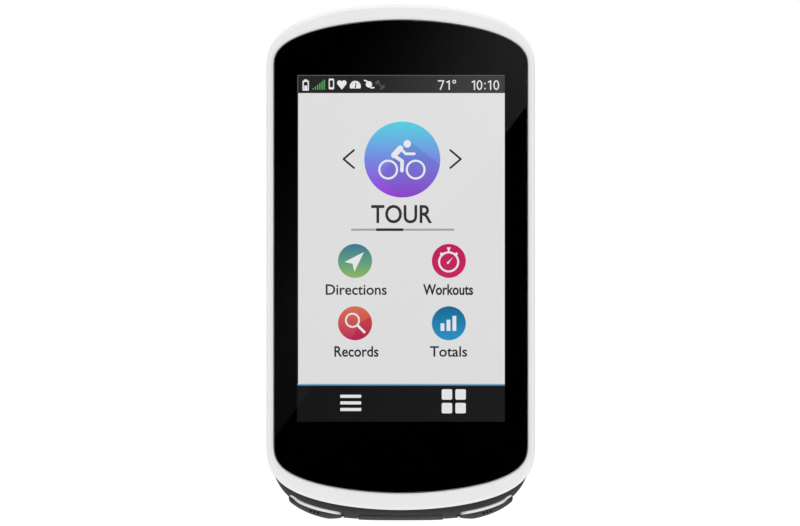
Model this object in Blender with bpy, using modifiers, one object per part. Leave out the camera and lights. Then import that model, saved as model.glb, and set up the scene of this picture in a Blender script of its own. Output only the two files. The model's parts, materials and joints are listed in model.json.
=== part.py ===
"""Handlebar cycling computer with a 3.5 inch touchscreen.

Frame: +Z is the top of the device, +X is right as the rider sees it, and the screen
faces -Y. The origin is the middle of the quarter-turn mount's outer face, on the back.

Inside this file a point is given as (x, depth, z) in millimetres: depth runs backwards
from the plane of the bezel's front face, and z is the height above the body's middle.
world() turns such a point into the part's frame, in metres.
"""
import math
from collections import namedtuple

import bmesh
import bpy
from mathutils import Matrix, Vector

MM = 0.001

# Driving dimensions, in millimetres
DEPTH = 19.0            # bezel face to the mount's outer face
MOUNT_Z = 6.0           # mount centre above the body's middle
DISPLAY_WIDTH = 45.7    # lit area of the 3.5 inch screen
DISPLAY_HEIGHT = 76.2
DISPLAY_Z = 3.2         # middle of the lit area
WALL = 1.6              # case wall
GAP = 0.3               # clearance between touching pieces
BEZEL_BACK = 6.5        # depth of the parting line under the bezel
CASE_FRONT = 6.8        # rim of the rear cover
CASE_BACK = 15.3        # its flat back
CASE_FLOOR = 13.7       # inside of that back
GLASS_FRONT = 0.3
GLASS_BACK = 1.4
LEDGE_FRONT = 1.9       # the shelf in the bezel that carries the glass
LEDGE_BACK = 2.9
CHASSIS_FRONT = 5.2
CHASSIS_BACK = 6.2
BOARD_FRONT = 6.6
BOARD_BACK = 7.6
SCREW_SEAT = 12.6       # underside of a case screw's head
CASE_SCREWS = ((20.0, 45.5), (-20.0, 45.5), (20.0, -42.5), (-20.0, -42.5))
BOARD_SCREWS = ((21.0, 24.0), (-21.0, 24.0), (21.0, -35.5), (-21.0, -35.5))
KEY_X = 18.9            # middle of the lap and start keys
KEY_TILT = math.radians(18.0)
KEY_TRAVEL = 0.45
KEY_NEAR = 8.9          # front edge of every key
KEY_FAR = 12.6          # rear edge of the lap and start keys
KEY_HALF_LENGTH = 6.4
KEY_PROUD = 0.75
TRIM_NEAR = 7.9         # bright strip in front of each of those keys
TRIM_FAR = 8.75
TRIM_PROUD = 0.3
POCKET_NEAR = 7.6       # opening in the case for a key and its strip
POCKET_FAR = 12.95
POCKET_HALF_LENGTH = 6.75
FLANGE_FRONT = -2.4     # a key's flange, from the case's surface
FLANGE_BACK = -3.0
POWER_KEY_Z = 24.0
POWER_KEY_FAR = 11.6
POWER_KEY_HALF_LENGTH = 5.2
POWER_KEY_PROUD = 0.35
LUG_RADIUS = 15.75      # quarter-turn ears, tip to tip 31.5
LUG_NECK = 12.3
LUG_FRONT = 17.1
CONTACT_RADIUS = 20.5   # circle of the charging contacts about the mount
CAP_NEAR = 8.1          # front and rear edges of the weather cap
CAP_FAR = 13.4
CAP_HALF_WIDTH = 9.4
CAP_PROUD = 0.2
SOCKET_MOUTH_Z = -53.6  # open ends of the two sockets behind the cap
FACE_SHARES = (-1.0, -0.5, 0.0, 0.5, 1.0)   # points across a face that follows the case
OUTLINE_STEPS = 13      # points in a quarter of a visible outline
INNER_STEPS = 7         # the same on hidden pieces

# An outline is straight at its sides and has a superellipse at each end:
# (x / half_width) ** n + (z / rise) ** m = 1
Outline = namedtuple("Outline", "half_width top top_rise top_n top_m bottom bottom_rise bottom_n bottom_m")
BEZEL = Outline(29.5, 56.8, 15.0, 2.1, 2.8, -54.3, 17.0, 1.9, 3.8)
GLASS = Outline(27.85, 53.4, 10.0, 1.8, 2.5, -50.5, 11.1, 1.8, 3.0)

# Sections of the rear cover from its front rim to its flat back
CASE = (
    (CASE_FRONT, Outline(28.9, 56.1, 15.0, 2.1, 2.8, -54.7, 17.8, 2.0, 3.8)),
    (7.4, Outline(28.95, 56.1, 15.0, 2.1, 2.8, -55.35, 19.0, 2.35, 3.8)),
    (8.2, Outline(28.9, 56.0, 15.0, 2.1, 2.8, -55.8, 20.0, 2.6, 3.8)),
    (9.2, Outline(28.8, 55.8, 15.0, 2.1, 2.8, -56.2, 21.5, 3.0, 3.9)),
    (10.5, Outline(28.5, 55.3, 15.0, 2.1, 2.8, -56.5, 24.0, 3.4, 3.9)),
    (12.2, Outline(27.9, 54.3, 15.0, 2.1, 2.8, -56.2, 23.0, 3.2, 3.7)),
    (13.6, Outline(26.4, 52.3, 14.0, 2.2, 2.7, -54.9, 21.0, 2.9, 3.4)),
    (14.6, Outline(24.0, 49.6, 13.0, 2.3, 2.6, -52.4, 19.0, 2.6, 3.0)),
    (15.15, Outline(21.9, 47.2, 12.0, 2.3, 2.6, -50.0, 17.0, 2.5, 2.8)),
    (CASE_BACK, Outline(19.8, 45.0, 11.0, 2.3, 2.6, -47.8, 15.5, 2.4, 2.7)),
)
# How far the cover's inside lies within those sections, from its rim to its floor
CASE_INSETS = ((CASE_FRONT, WALL), (7.4, WALL), (8.2, WALL), (9.2, WALL), (10.5, WALL), (12.2, 1.9),
               (13.2, 3.0), (CASE_FLOOR, 5.0))

# A place on the case for a key: x, z, and the angle of the outward normal from -Z
Spot = namedtuple("Spot", "x z tilt")
START_SPOT = Spot(KEY_X, -54.4, KEY_TILT)
LAP_SPOT = Spot(-KEY_X, -54.4, -KEY_TILT)
POWER_SPOT = Spot(-28.5, POWER_KEY_Z, math.radians(-90.0))
CAP_SPOT = Spot(0.0, -56.2, 0.0)

PAINTS = {
    "white_plastic": ((0.80, 0.81, 0.81), 0.35, 0.0),
    "black_glass": ((0.004, 0.004, 0.005), 0.05, 0.0),
    "screen": ((0.72, 0.72, 0.74), 0.30, 0.0),
    "clear_film": ((0.55, 0.60, 0.62), 0.20, 0.0),
    "steel": ((0.55, 0.56, 0.58), 0.35, 1.0),
    "dark_plastic": ((0.035, 0.037, 0.040), 0.55, 0.0),
    "black_plastic": ((0.015, 0.015, 0.017), 0.45, 0.0),
    "key_rubber": ((0.028, 0.029, 0.032), 0.70, 0.0),
    "seal_rubber": ((0.05, 0.05, 0.055), 0.80, 0.0),
    "bright_trim": ((0.62, 0.63, 0.65), 0.22, 1.0),
    "board_green": ((0.02, 0.12, 0.06), 0.45, 0.0),
    "flex_amber": ((0.45, 0.18, 0.03), 0.35, 0.0),
    "ceramic": ((0.62, 0.56, 0.44), 0.55, 0.0),
    "cell_wrap": ((0.10, 0.16, 0.30), 0.40, 0.0),
    "foam": ((0.08, 0.08, 0.085), 0.95, 0.0),
    "gold": ((0.83, 0.60, 0.22), 0.25, 1.0),
    "lead_red": ((0.55, 0.03, 0.02), 0.45, 0.0),
    "adhesive": ((0.03, 0.03, 0.03), 0.80, 0.0),
}


def clear_scene():
    for obj in list(bpy.data.objects):
        bpy.data.objects.remove(obj, do_unlink=True)


def new_collection(name):
    collection = bpy.data.collections.new(name)
    bpy.context.scene.collection.children.link(collection)
    return collection


def paint(name):
    """The Principled material of that name, made once."""
    found = bpy.data.materials.get(name)
    if found:
        return found
    colour, roughness, metallic = PAINTS[name]
    material = bpy.data.materials.new(name)
    material.use_nodes = True
    shader = material.node_tree.nodes["Principled BSDF"]
    shader.inputs["Base Color"].default_value = (*colour, 1.0)
    shader.inputs["Roughness"].default_value = roughness
    shader.inputs["Metallic"].default_value = metallic
    return material


def world(x, depth, z):
    return Vector((x, depth - DEPTH, z - MOUNT_Z)) * MM


# Shape helpers. A piece with no colour is a cutter, or is joined to another piece.

def add_object(name, data, colour):
    obj = bpy.data.objects.new(name, data)
    if colour is None:
        CUTTERS.objects.link(obj)
        obj.hide_render = True
        obj.display_type = "WIRE"
    else:
        PARTS.objects.link(obj)
        data.materials.append(paint(colour))
    return obj


def mesh_object(name, bm, colour, smooth=True):
    bmesh.ops.recalc_face_normals(bm, faces=bm.faces)
    mesh = bpy.data.meshes.new(name)
    bm.to_mesh(mesh)
    bm.free()
    if smooth:
        mesh.shade_smooth()
        mesh.set_sharp_from_angle(angle=math.radians(35.0))
    return add_object(name, mesh, colour)


def cut(target, cutter):
    change = target.modifiers.new(cutter.name, "BOOLEAN")
    change.operation = "DIFFERENCE"
    change.solver = "EXACT"
    change.object = cutter


def join(target, other):
    change = target.modifiers.new(other.name, "BOOLEAN")
    change.operation = "UNION"
    change.solver = "EXACT"
    change.object = other


def loft(name, rings, colour=None, looped=False):
    """Skin over rings of equal length, capped at both ends or run back into the first."""
    bm = bmesh.new()
    rows = [[bm.verts.new(point) for point in ring] for ring in rings]
    pairs = list(zip(rows, rows[1:]))
    if looped:
        pairs.append((rows[-1], rows[0]))
    for first, second in pairs:
        for i in range(len(first)):
            j = (i + 1) % len(first)
            bm.faces.new((first[i], first[j], second[j], second[i]))
    if not looped:
        bm.faces.new(rows[0])
        bm.faces.new(rows[-1])
    return mesh_object(name, bm, colour)


def block(name, centre, size, colour=None, bevel=0.0, tilt=0.0):
    """A box; size is (x, depth, z) and tilt turns it in the plane of the screen."""
    bm = bmesh.new()
    bmesh.ops.create_cube(bm, size=1.0)
    bmesh.ops.scale(bm, vec=Vector(size) * MM, verts=bm.verts)
    obj = mesh_object(name, bm, colour, smooth=False)
    obj.location = world(*centre)
    obj.rotation_euler = (0.0, -tilt, 0.0)
    if bevel:
        edge = obj.modifiers.new("Edges", "BEVEL")
        edge.width = bevel * MM
        edge.segments = 1
    return obj


def rod(name, x, z, radius, front, back, colour=None, sides=20):
    """A cylinder along the depth of the case."""
    bm = bmesh.new()
    bmesh.ops.create_cone(bm, cap_ends=True, segments=sides, radius1=radius * MM,
                          radius2=radius * MM, depth=(back - front) * MM)
    obj = mesh_object(name, bm, colour)
    obj.location = world(x, (front + back) / 2, z)
    obj.rotation_euler = (math.radians(90.0), 0.0, 0.0)
    return obj


def turned(name, x, z, profile, colour, sides=14):
    """A profile of (radius, depth) points, from the back end forwards, turned about the depth axis."""
    mesh = bpy.data.meshes.new(name)
    points = [(radius * MM, 0.0, (depth - DEPTH) * MM) for radius, depth in profile]
    mesh.from_pydata(points, [(i, i + 1) for i in range(len(points) - 1)], [])
    obj = add_object(name, mesh, colour)
    obj.location = (x * MM, 0.0, (z - MOUNT_Z) * MM)
    obj.rotation_euler = (math.radians(-90.0), 0.0, 0.0)
    spin = obj.modifiers.new("Turn", "SCREW")
    spin.axis = "Z"
    spin.steps = sides
    spin.render_steps = sides
    spin.use_merge_vertices = True
    spin.merge_threshold = 0.000001
    return obj


def plate(name, outlines, front, back, colour=None):
    """A flat piece from closed (x, z) outlines; the second and later ones are holes."""
    curve = bpy.data.curves.new(name + "_outline", "CURVE")
    curve.dimensions = "2D"
    curve.fill_mode = "BOTH"
    curve.extrude = (back - front) / 2 * MM
    for outline in outlines:
        spline = curve.splines.new("POLY")
        spline.points.add(len(outline) - 1)
        spline.use_cyclic_u = True
        for point, (x, z) in zip(spline.points, outline):
            point.co = (x * MM, (z - MOUNT_Z) * MM, 0.0, 1.0)
    flat = bpy.data.objects.new(name + "_outline", curve)
    CUTTERS.objects.link(flat)
    flat.location = (0.0, ((front + back) / 2 - DEPTH) * MM, 0.0)
    flat.rotation_euler = (math.radians(90.0), 0.0, 0.0)
    bpy.context.view_layer.update()
    solid = bpy.data.meshes.new_from_object(flat.evaluated_get(bpy.context.evaluated_depsgraph_get()))
    bm = bmesh.new()
    bm.from_mesh(solid)
    bmesh.ops.remove_doubles(bm, verts=bm.verts, dist=0.000001)
    obj = mesh_object(name, bm, colour)
    obj.matrix_world = flat.matrix_world
    bpy.data.objects.remove(flat)
    return obj


def ribbon(name, x, width, path, thickness, colour):
    """A flat flexible strip, width across the case, along (depth, z) points."""
    bm = bmesh.new()
    verts = [bm.verts.new(world(x - width / 2, depth, z)) for depth, z in path]
    edges = [bm.edges.new(pair) for pair in zip(verts, verts[1:])]
    made = bmesh.ops.extrude_edge_only(bm, edges=edges)
    moved = [item for item in made["geom"] if isinstance(item, bmesh.types.BMVert)]
    bmesh.ops.translate(bm, verts=moved, vec=(width * MM, 0.0, 0.0))
    obj = mesh_object(name, bm, colour)
    skin = obj.modifiers.new("Thickness", "SOLIDIFY")
    skin.thickness = thickness * MM
    skin.offset = 0.0
    return obj


def lead(name, points, radius, colour):
    """A thin insulated wire through (x, depth, z) points."""
    curve = bpy.data.curves.new(name, "CURVE")
    curve.dimensions = "3D"
    curve.bevel_depth = radius * MM
    curve.bevel_resolution = 1
    curve.use_fill_caps = True
    spline = curve.splines.new("POLY")
    spline.points.add(len(points) - 1)
    for point, place in zip(spline.points, points):
        point.co = (*world(*place), 1.0)
    return add_object(name, curve, colour)


# Outlines and the case's surface

def grown(outline, amount):
    return outline._replace(
        half_width=outline.half_width + amount,
        top=outline.top + amount,
        top_rise=outline.top_rise + amount,
        bottom=outline.bottom - amount,
        bottom_rise=outline.bottom_rise + amount,
    )


def outline_points(outline, steps=INNER_STEPS):
    """The closed outline as (x, z) points, from the right-hand side up over the top and round."""
    ends = (
        (outline.top - outline.top_rise, outline.top_rise, outline.top_n, outline.top_m),
        (outline.bottom + outline.bottom_rise, -outline.bottom_rise, outline.bottom_n, outline.bottom_m),
    )
    points = []
    for side, (base, rise, n, m) in zip((1, -1), ends):
        for i in range(2 * steps + 1):
            angle = math.pi / 2 * i / steps
            across = math.cos(angle)
            up = max(math.sin(angle), 0.0)
            x = side * math.copysign(abs(across) ** (2 / n), across) * outline.half_width
            points.append((x, base + rise * up ** (2 / m)))
    return points


def ring(outline, depth, steps=INNER_STEPS):
    return [world(x, depth, z) for x, z in outline_points(outline, steps)]


def case_section(depth):
    """The rear cover's outline at a depth."""
    for (front, first), (back, second) in zip(CASE, CASE[1:]):
        if depth <= back:
            share = (depth - front) / (back - front)
            return Outline(*(a + (b - a) * share for a, b in zip(first, second)))
    return CASE[-1][1]


def within(outline, x, z):
    across = min(abs(x) / outline.half_width, 2.0)
    above = z - (outline.top - outline.top_rise)
    if above > 0:
        return across ** outline.top_n + (above / outline.top_rise) ** outline.top_m < 1
    below = (outline.bottom + outline.bottom_rise) - z
    if below > 0:
        return across ** outline.bottom_n + (below / outline.bottom_rise) ** outline.bottom_m < 1
    return across < 1


def on_spot(spot, along, out):
    """(x, z) of a point at a distance along the case's edge and outwards from a spot."""
    x = spot.x + along * math.cos(spot.tilt) + out * math.sin(spot.tilt)
    z = spot.z + along * math.sin(spot.tilt) - out * math.cos(spot.tilt)
    return x, z


def reach(spot, along, depth):
    """How far out of the spot the case's surface lies, found by halving."""
    outline = case_section(depth)
    low, high = -10.0, 8.0
    for _ in range(26):
        middle = (low + high) / 2
        if within(outline, *on_spot(spot, along, middle)):
            low = middle
        else:
            high = middle
    return low


def edge_solid(name, spot, half_length, near, far, inner, outer, colour=None, corner=None, edge=0.0):
    """A pill or rounded bar set in the case's edge, its faces following the case's surface.

    near and far are depths; inner and outer are distances from the surface, outwards."""
    half = (far - near) / 2
    middle = (far + near) / 2
    corner = corner or half
    straight = half_length - corner
    turns = [math.radians(angle) for angle in (78, 52, 26, 0)]
    stations = [(-straight - corner * math.sin(a), half - corner * (1 - math.cos(a))) for a in turns]
    stations += [(straight * share, half) for share in (-0.6, -0.2, 0.2, 0.6)]
    stations += [(-along, width) for along, width in reversed(stations[:4])]
    rings = []
    for index, (along, width) in enumerate(stations):
        drop = min(edge, 0.7 * width)
        ends = index in (0, len(stations) - 1)
        top = outer - (0.6 * edge if ends else 0.0)
        section = [(share * (width - drop), top) for share in FACE_SHARES]
        if edge:
            section = [(-width, top - drop), (-width + 0.3 * drop, top - 0.3 * drop)] + section
            section += [(width - 0.3 * drop, top - 0.3 * drop), (width, top - drop)]
        section += [(-share * width, inner) for share in FACE_SHARES]
        points = []
        for offset, out in section:
            depth = middle + offset
            x, z = on_spot(spot, along, reach(spot, along, depth) + out)
            points.append(world(x, depth, z))
        rings.append(points)
    return loft(name, rings, colour)


def band(radius_in, radius_out, half_angle, steps=10):
    """An arc band centred under the mount, as (x, z) points."""
    angles = [math.radians(-90.0) + half_angle * (2 * i / steps - 1) for i in range(steps + 1)]
    outside = [(radius_out * math.cos(a), MOUNT_Z + radius_out * math.sin(a)) for a in angles]
    inside = [(radius_in * math.cos(a), MOUNT_Z + radius_in * math.sin(a)) for a in reversed(angles)]
    return outside + inside


def circle(x, z, radius, steps=16):
    angles = [2 * math.pi * i / steps for i in range(steps)]
    return [(x + radius * math.cos(a), z + radius * math.sin(a)) for a in angles]


# The front: bezel, glass and what is bonded behind it

def build_front():
    """White bezel ring with a shelf for the glass, the glass and its adhesive."""
    opening = grown(GLASS, 0.2)
    rings = (
        (grown(BEZEL, -0.8), 0.0), (grown(BEZEL, -0.3), 0.2), (grown(BEZEL, -0.08), 0.5),
        (BEZEL, 1.0), (BEZEL, 5.6), (grown(BEZEL, -0.3), BEZEL_BACK),
        (grown(BEZEL, -WALL), BEZEL_BACK), (grown(BEZEL, -WALL), LEDGE_BACK),
        (grown(GLASS, -1.5), LEDGE_BACK), (grown(GLASS, -1.5), LEDGE_FRONT),
        (opening, LEDGE_FRONT), (opening, 0.55), (grown(GLASS, 0.75), 0.0),
    )
    loft("front_bezel", [ring(shape, depth, OUTLINE_STEPS) for shape, depth in rings],
         "white_plastic", looped=True)
    glass = ((grown(GLASS, -0.15), GLASS_FRONT), (grown(GLASS, -0.02), GLASS_FRONT + 0.12),
             (GLASS, GLASS_FRONT + 0.3), (GLASS, GLASS_BACK))
    loft("cover_glass", [ring(shape, depth, OUTLINE_STEPS) for shape, depth in glass], "black_glass")
    front, back = GLASS_BACK + 0.15, LEDGE_FRONT - 0.12
    outer, inner = grown(GLASS, -0.2), grown(GLASS, -1.35)
    adhesive = ((outer, front), (outer, back), (inner, back), (inner, front))
    loft("glass_adhesive", [ring(shape, depth, 10) for shape, depth in adhesive], "adhesive", looped=True)


def build_display():
    """Touch sensor, display panel, light guide, tray and the two flexes to the board."""
    width, height, middle = DISPLAY_WIDTH + 2.5, DISPLAY_HEIGHT + 5.0, DISPLAY_Z - 1.2
    block("touch_sensor", (0.0, 1.63, middle), (width - 0.6, 0.22, height - 3.0), "clear_film")
    block("display_panel", (0.0, 2.5, middle), (width, 1.1, height), "screen", bevel=0.15)
    block("display_backlight", (0.0, 3.9, middle), (width, 1.1, height), "clear_film", bevel=0.15)
    tray = block("display_tray", (0.0, 3.5, middle), (width + 1.4, 2.8, height + 1.4), "steel")
    cut(tray, block("tray_inside", (0.0, 3.2, middle), (width + 0.7, 2.9, height + 0.7)))
    bottom = middle - height / 2 - 1.2
    slack = ((2.5, bottom + 0.3), (2.7, bottom - 0.7), (3.4, bottom - 1.4), (4.5, bottom - 1.6),
             (5.5, bottom - 1.4), (6.15, bottom - 0.7), (6.38, bottom + 0.3), (6.38, bottom + 4.0))
    ribbon("display_flex", -2.0, 14.0, slack, 0.15, "flex_amber")
    outside = ((1.63, bottom + 2.6), (1.63, bottom - 0.4), (2.0, bottom - 1.8), (3.2, bottom - 2.4),
               (5.0, bottom - 2.4), (6.0, bottom - 1.5), (6.38, bottom), (6.38, bottom + 4.0))
    ribbon("touch_flex", 13.0, 7.0, outside, 0.15, "flex_amber")
    block("light_sensor", (14.5, 4.55, 47.4), (2.2, 0.9, 1.6), "black_plastic")
    block("gps_antenna", (0.0, 3.6, 47.4), (16.0, 2.8, 4.2), "ceramic", bevel=0.2)


def build_structure():
    """Chassis frame with its screw bosses, and the seal round it."""
    chassis = plate("chassis_frame", [outline_points(grown(BEZEL, -3.6))], CHASSIS_FRONT, CHASSIS_BACK,
                    "black_plastic")
    middle = (CHASSIS_FRONT + CHASSIS_BACK) / 2
    cut(chassis, block("chassis_window", (0.0, middle, 4.0), (34.0, 4.0, 60.0)))
    cut(chassis, block("flex_window", (2.5, middle, -39.4), (28.0, 4.0, 7.4)))
    for index, (x, z) in enumerate(CASE_SCREWS, 1):
        join(chassis, rod(f"case_boss_{index}", x, z, 2.2, CHASSIS_BACK - 0.5, 8.8, sides=16))
    for index, (x, z) in enumerate(BOARD_SCREWS, 1):
        join(chassis, rod(f"board_boss_{index}", x, z, 1.7, CHASSIS_BACK - 0.5, BOARD_FRONT - 0.15, sides=14))
    for index, (x, z) in enumerate(CASE_SCREWS, 1):
        cut(chassis, rod(f"case_thread_{index}", x, z, 1.25, CHASSIS_FRONT - 1, 9.5, sides=12))
    for index, (x, z) in enumerate(BOARD_SCREWS, 1):
        cut(chassis, rod(f"board_thread_{index}", x, z, 1.05, CHASSIS_FRONT - 1, 9.5, sides=12))
    outer, inner = grown(BEZEL, -2.5), grown(BEZEL, -3.3)
    seal = ((outer, 6.1), (outer, 7.1), (inner, 7.1), (inner, 6.1))
    loft("case_seal", [ring(shape, depth, 10) for shape, depth in seal], "seal_rubber", looped=True)


def build_electronics():
    """Main board and what is soldered to it."""
    corner = [(-23.5, -38.5), (23.5, -38.5), (23.5, 42.2), (17.0, 42.2), (17.0, 47.5),
              (-17.0, 47.5), (-17.0, 42.2), (-23.5, 42.2)]
    holes = [circle(x, z, 1.05, 12) for x, z in BOARD_SCREWS]
    plate("main_board", [corner] + holes, BOARD_FRONT, BOARD_BACK, "board_green")
    for name, x, z, width, height in (("processor_shield", -8.0, 27.6, 22.0, 16.0),
                                      ("radio_shield", 12.0, 30.0, 11.0, 15.0)):
        can = block(name, (x, 8.75, z), (width, 1.9, height), "steel", bevel=0.25)
        cut(can, block(name + "_inside", (x, 8.4, z), (width - 0.6, 1.9, height - 0.6)))
    block("radio_antenna", (24.6, 9.7, 30.0), (0.3, 4.4, 24.0), "flex_amber")
    block("pressure_sensor", (6.0, 8.35, 42.5), (2.6, 1.1, 2.6), "steel", bevel=0.2)
    turned("beeper", -8.0, 41.4, ((0.0, 9.5), (4.7, 9.5), (4.9, 9.3), (4.9, 7.8), (0.0, 7.8)), "black_plastic",
           sides=24)
    turned("vent_membrane", 10.0, 37.5, ((0.0, 13.5), (2.0, 13.5), (2.0, 13.25), (0.0, 13.25)), "foam",
           sides=16)


def build_battery():
    """Cell, the foam that presses it, and its two leads with their plug."""
    block("battery_pack", (0.0, 10.6, -7.5), (44.0, 5.0, 49.0), "cell_wrap", bevel=0.9)
    block("battery_pad", (0.0, 13.38, -7.5), (36.0, 0.25, 40.0), "foam")
    block("battery_plug", (15.6, 8.85, 19.6), (5.0, 1.9, 2.2), "white_plastic", bevel=0.2)
    for name, out, colour in (("battery_lead_red", 0.0, "lead_red"), ("battery_lead_black", 1.15, "black_plastic")):
        x = 5.4 - out
        bend = (9.9, 18.9 + out)
        path = [(x, bend[0], 17.35), (x, bend[0], bend[1] - 0.5), (x + 0.5, bend[0], bend[1]),
                (x + 3.0, 9.4, bend[1]), (10.5, 8.9, bend[1]), (12.8, 8.85, bend[1])]
        lead(name, path, 0.42, colour)


def build_ports():
    """Board behind the weather cap with the charging socket and the card socket."""
    mouth = SOCKET_MOUTH_Z
    block("port_board", (0.0, 9.85, mouth + 8.6), (16.0, 0.6, 16.6), "board_green")
    usb = block("usb_socket", (0.0, 11.65, mouth + 2.6), (7.6, 2.5, 5.2), "steel", bevel=0.35)
    cut(usb, block("usb_mouth", (0.0, 11.65, mouth + 2.0), (6.9, 1.85, 5.0)))
    join(usb, block("usb_tongue", (0.0, 11.35, mouth + 2.9), (3.8, 0.6, 4.4)))
    card = block("card_socket", (0.0, 8.7, mouth + 7.0), (13.4, 1.2, 14.0), "steel", bevel=0.15)
    cut(card, block("card_mouth", (0.0, 8.7, mouth + 5.6), (11.4, 0.75, 13.0)))
    top = mouth + 17.2
    arch = ((10.35, top - 2.6), (10.35, top + 0.2), (10.0, top + 1.0), (9.1, top + 1.4),
            (8.2, top + 1.0), (7.85, top + 0.2), (7.85, top - 1.4))
    ribbon("port_flex", 0.0, 9.0, arch, 0.15, "flex_amber")


def build_rear_cover():
    """Dark shell with key openings, screw wells, mount seat and tether bridge."""
    inside = [ring(grown(case_section(depth), -inset), depth, OUTLINE_STEPS) for depth, inset in CASE_INSETS]
    outside = [ring(shape, depth, OUTLINE_STEPS) for depth, shape in CASE]
    cover = loft("rear_cover", inside[::-1] + outside, "dark_plastic")
    for index, (x, z) in enumerate(CASE_SCREWS, 1):
        join(cover, rod(f"cover_boss_{index}", x, z, 3.0, 9.1, CASE_FLOOR + 0.4, sides=20))
    join(cover, block("tether_bar", (0.0, 16.0, -33.0), (7.4, 2.0, 2.8), bevel=0.4))
    cut(cover, block("tether_way", (0.0, 15.2, -33.0), (4.4, 1.5, 9.0)))
    for index, (x, z) in enumerate(CASE_SCREWS, 1):
        cut(cover, rod(f"screw_well_{index}", x, z, 2.2, SCREW_SEAT, 17.0, sides=20))
        cut(cover, rod(f"screw_way_{index}", x, z, 1.25, 8.5, SCREW_SEAT + 0.5, sides=12))
    cut(cover, rod("mount_seat", 0.0, MOUNT_Z, 14.8, 14.45, 17.0, sides=48))
    cut(cover, rod("vent_hole", 10.0, 37.5, 0.7, 13.0, 16.0, sides=10))
    cut(cover, plate("contact_way", [band(18.1, 22.9, math.radians(33.8))], 13.0, 16.0))
    for label, spot in (("start", START_SPOT), ("lap", LAP_SPOT)):
        cut(cover, edge_solid(label + "_pocket", spot, POCKET_HALF_LENGTH, POCKET_NEAR, POCKET_FAR, -4.0, 3.0,
                              corner=1.3))
    cut(cover, edge_solid("power_pocket", POWER_SPOT, POWER_KEY_HALF_LENGTH + GAP, KEY_NEAR - GAP,
                          POWER_KEY_FAR + GAP, -4.0, 3.0))
    cut(cover, edge_solid("cap_seat", CAP_SPOT, CAP_HALF_WIDTH + GAP, CAP_NEAR - GAP, CAP_FAR + GAP, -1.05, 2.0,
                          corner=1.6))
    cut(cover, block("port_way", (0.0, 10.55, -54.5), (16.4, 5.2, 4.4)))


def build_mount():
    """Quarter-turn insert and the block with five charging contacts below it."""
    insert = rod("mount_insert", 0.0, MOUNT_Z, 14.5, 14.6, 15.25, "black_plastic", sides=48)
    join(insert, rod("mount_neck", 0.0, MOUNT_Z, LUG_NECK, 14.9, LUG_FRONT + 0.2, sides=48))
    ears = []
    for step in range(72):
        angle = math.radians(step * 5.0 + 2.5)
        radius = LUG_RADIUS if abs(math.sin(angle)) > math.cos(math.radians(30.0)) else LUG_NECK
        ears.append((radius * math.cos(angle), MOUNT_Z + radius * math.sin(angle)))
    join(insert, plate("mount_ears", [ears], LUG_FRONT, DEPTH))
    spread = [math.radians(-90.0 + 11.5 * step) for step in (-2, -1, 0, 1, 2)]
    places = [(CONTACT_RADIUS * math.cos(a), MOUNT_Z + CONTACT_RADIUS * math.sin(a)) for a in spread]
    holes = [circle(x, z, 1.6, 14) for x, z in places]
    plate("contact_block", [band(18.4, 22.6, math.radians(33.0))] + holes, 14.0, 15.15, "black_plastic")
    for index, (x, z) in enumerate(places, 1):
        rod(f"contact_pad_{index}", x, z, 1.3, 14.2, 15.0, "gold", sides=16)


def build_key(label, spot, half_length, near, far, proud):
    """A key with its retaining flange, and behind it the seal, the switch and the switch's board."""
    key = edge_solid(label + "_button", spot, half_length, near, far, -2.6, proud, "key_rubber", edge=0.6)
    join(key, edge_solid(label + "_flange", spot, half_length + 0.6, near - 0.25, far - 0.4,
                         FLANGE_BACK, FLANGE_FRONT))
    seal = FLANGE_BACK - KEY_TRAVEL - GAP
    edge_solid(label + "_button_seal", spot, half_length + 0.6, near - 0.2, far - 0.4, seal - 0.35, seal,
               "seal_rubber")
    middle = (near + far) / 2
    surface = reach(spot, 0.0, middle)
    for name, thickness, length, colour, out in (("_switch", 0.9, 4.8, "steel", -5.9),
                                                 ("_switch_board", 0.6, 8.0, "board_green", -6.8)):
        x, z = on_spot(spot, 0.0, surface + out)
        block(label + name, (x, middle, z), (length, 2.6, thickness), colour, bevel=0.1, tilt=spot.tilt)


def build_keys():
    """Start and lap keys, each with its bright strip, and the power key."""
    for label, spot in (("start", START_SPOT), ("lap", LAP_SPOT)):
        build_key(label, spot, KEY_HALF_LENGTH, KEY_NEAR, KEY_FAR, KEY_PROUD)
        edge_solid(label + "_button_trim", spot, KEY_HALF_LENGTH - 0.05, TRIM_NEAR, TRIM_FAR, -1.75, TRIM_PROUD,
                   "bright_trim", corner=0.4)
    build_key("power", POWER_SPOT, POWER_KEY_HALF_LENGTH, KEY_NEAR, POWER_KEY_FAR, POWER_KEY_PROUD)


def build_weather_cap():
    """Rubber cap over the sockets; its origin is on the hinge line at its rear edge."""
    cap = edge_solid("weather_cap", CAP_SPOT, CAP_HALF_WIDTH, CAP_NEAR, CAP_FAR, -0.8, CAP_PROUD, "seal_rubber",
                     corner=1.3, edge=0.25)
    join(cap, block("cap_plug", (0.0, 10.45, -54.85), (15.7, 4.2, 1.9), bevel=0.3))
    hinge = world(0.0, CAP_FAR, CAP_SPOT.z - reach(CAP_SPOT, 0.0, CAP_FAR) - CAP_PROUD)
    cap.data.transform(Matrix.Translation(-hinge))
    cap.location = hinge


def build_screws():
    """Case screws with a six-sided socket, and the smaller board screws."""
    for index, (x, z) in enumerate(CASE_SCREWS, 1):
        turned(f"case_screw_{index}", x, z,
               ((0.0, 13.1), (0.75, 13.2), (0.75, 13.85), (1.6, 13.85), (1.85, 13.6), (1.85, 12.75),
                (1.0, 12.75), (1.0, 6.6), (0.0, 6.4)), "steel")
    for index, (x, z) in enumerate(BOARD_SCREWS, 1):
        turned(f"board_screw_{index}", x, z,
               ((0.0, 8.2), (0.5, 8.2), (0.5, 8.55), (1.3, 8.55), (1.4, 8.4), (1.4, 7.75),
                (0.8, 7.75), (0.8, 5.6), (0.0, 5.5)), "steel", sides=12)


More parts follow.
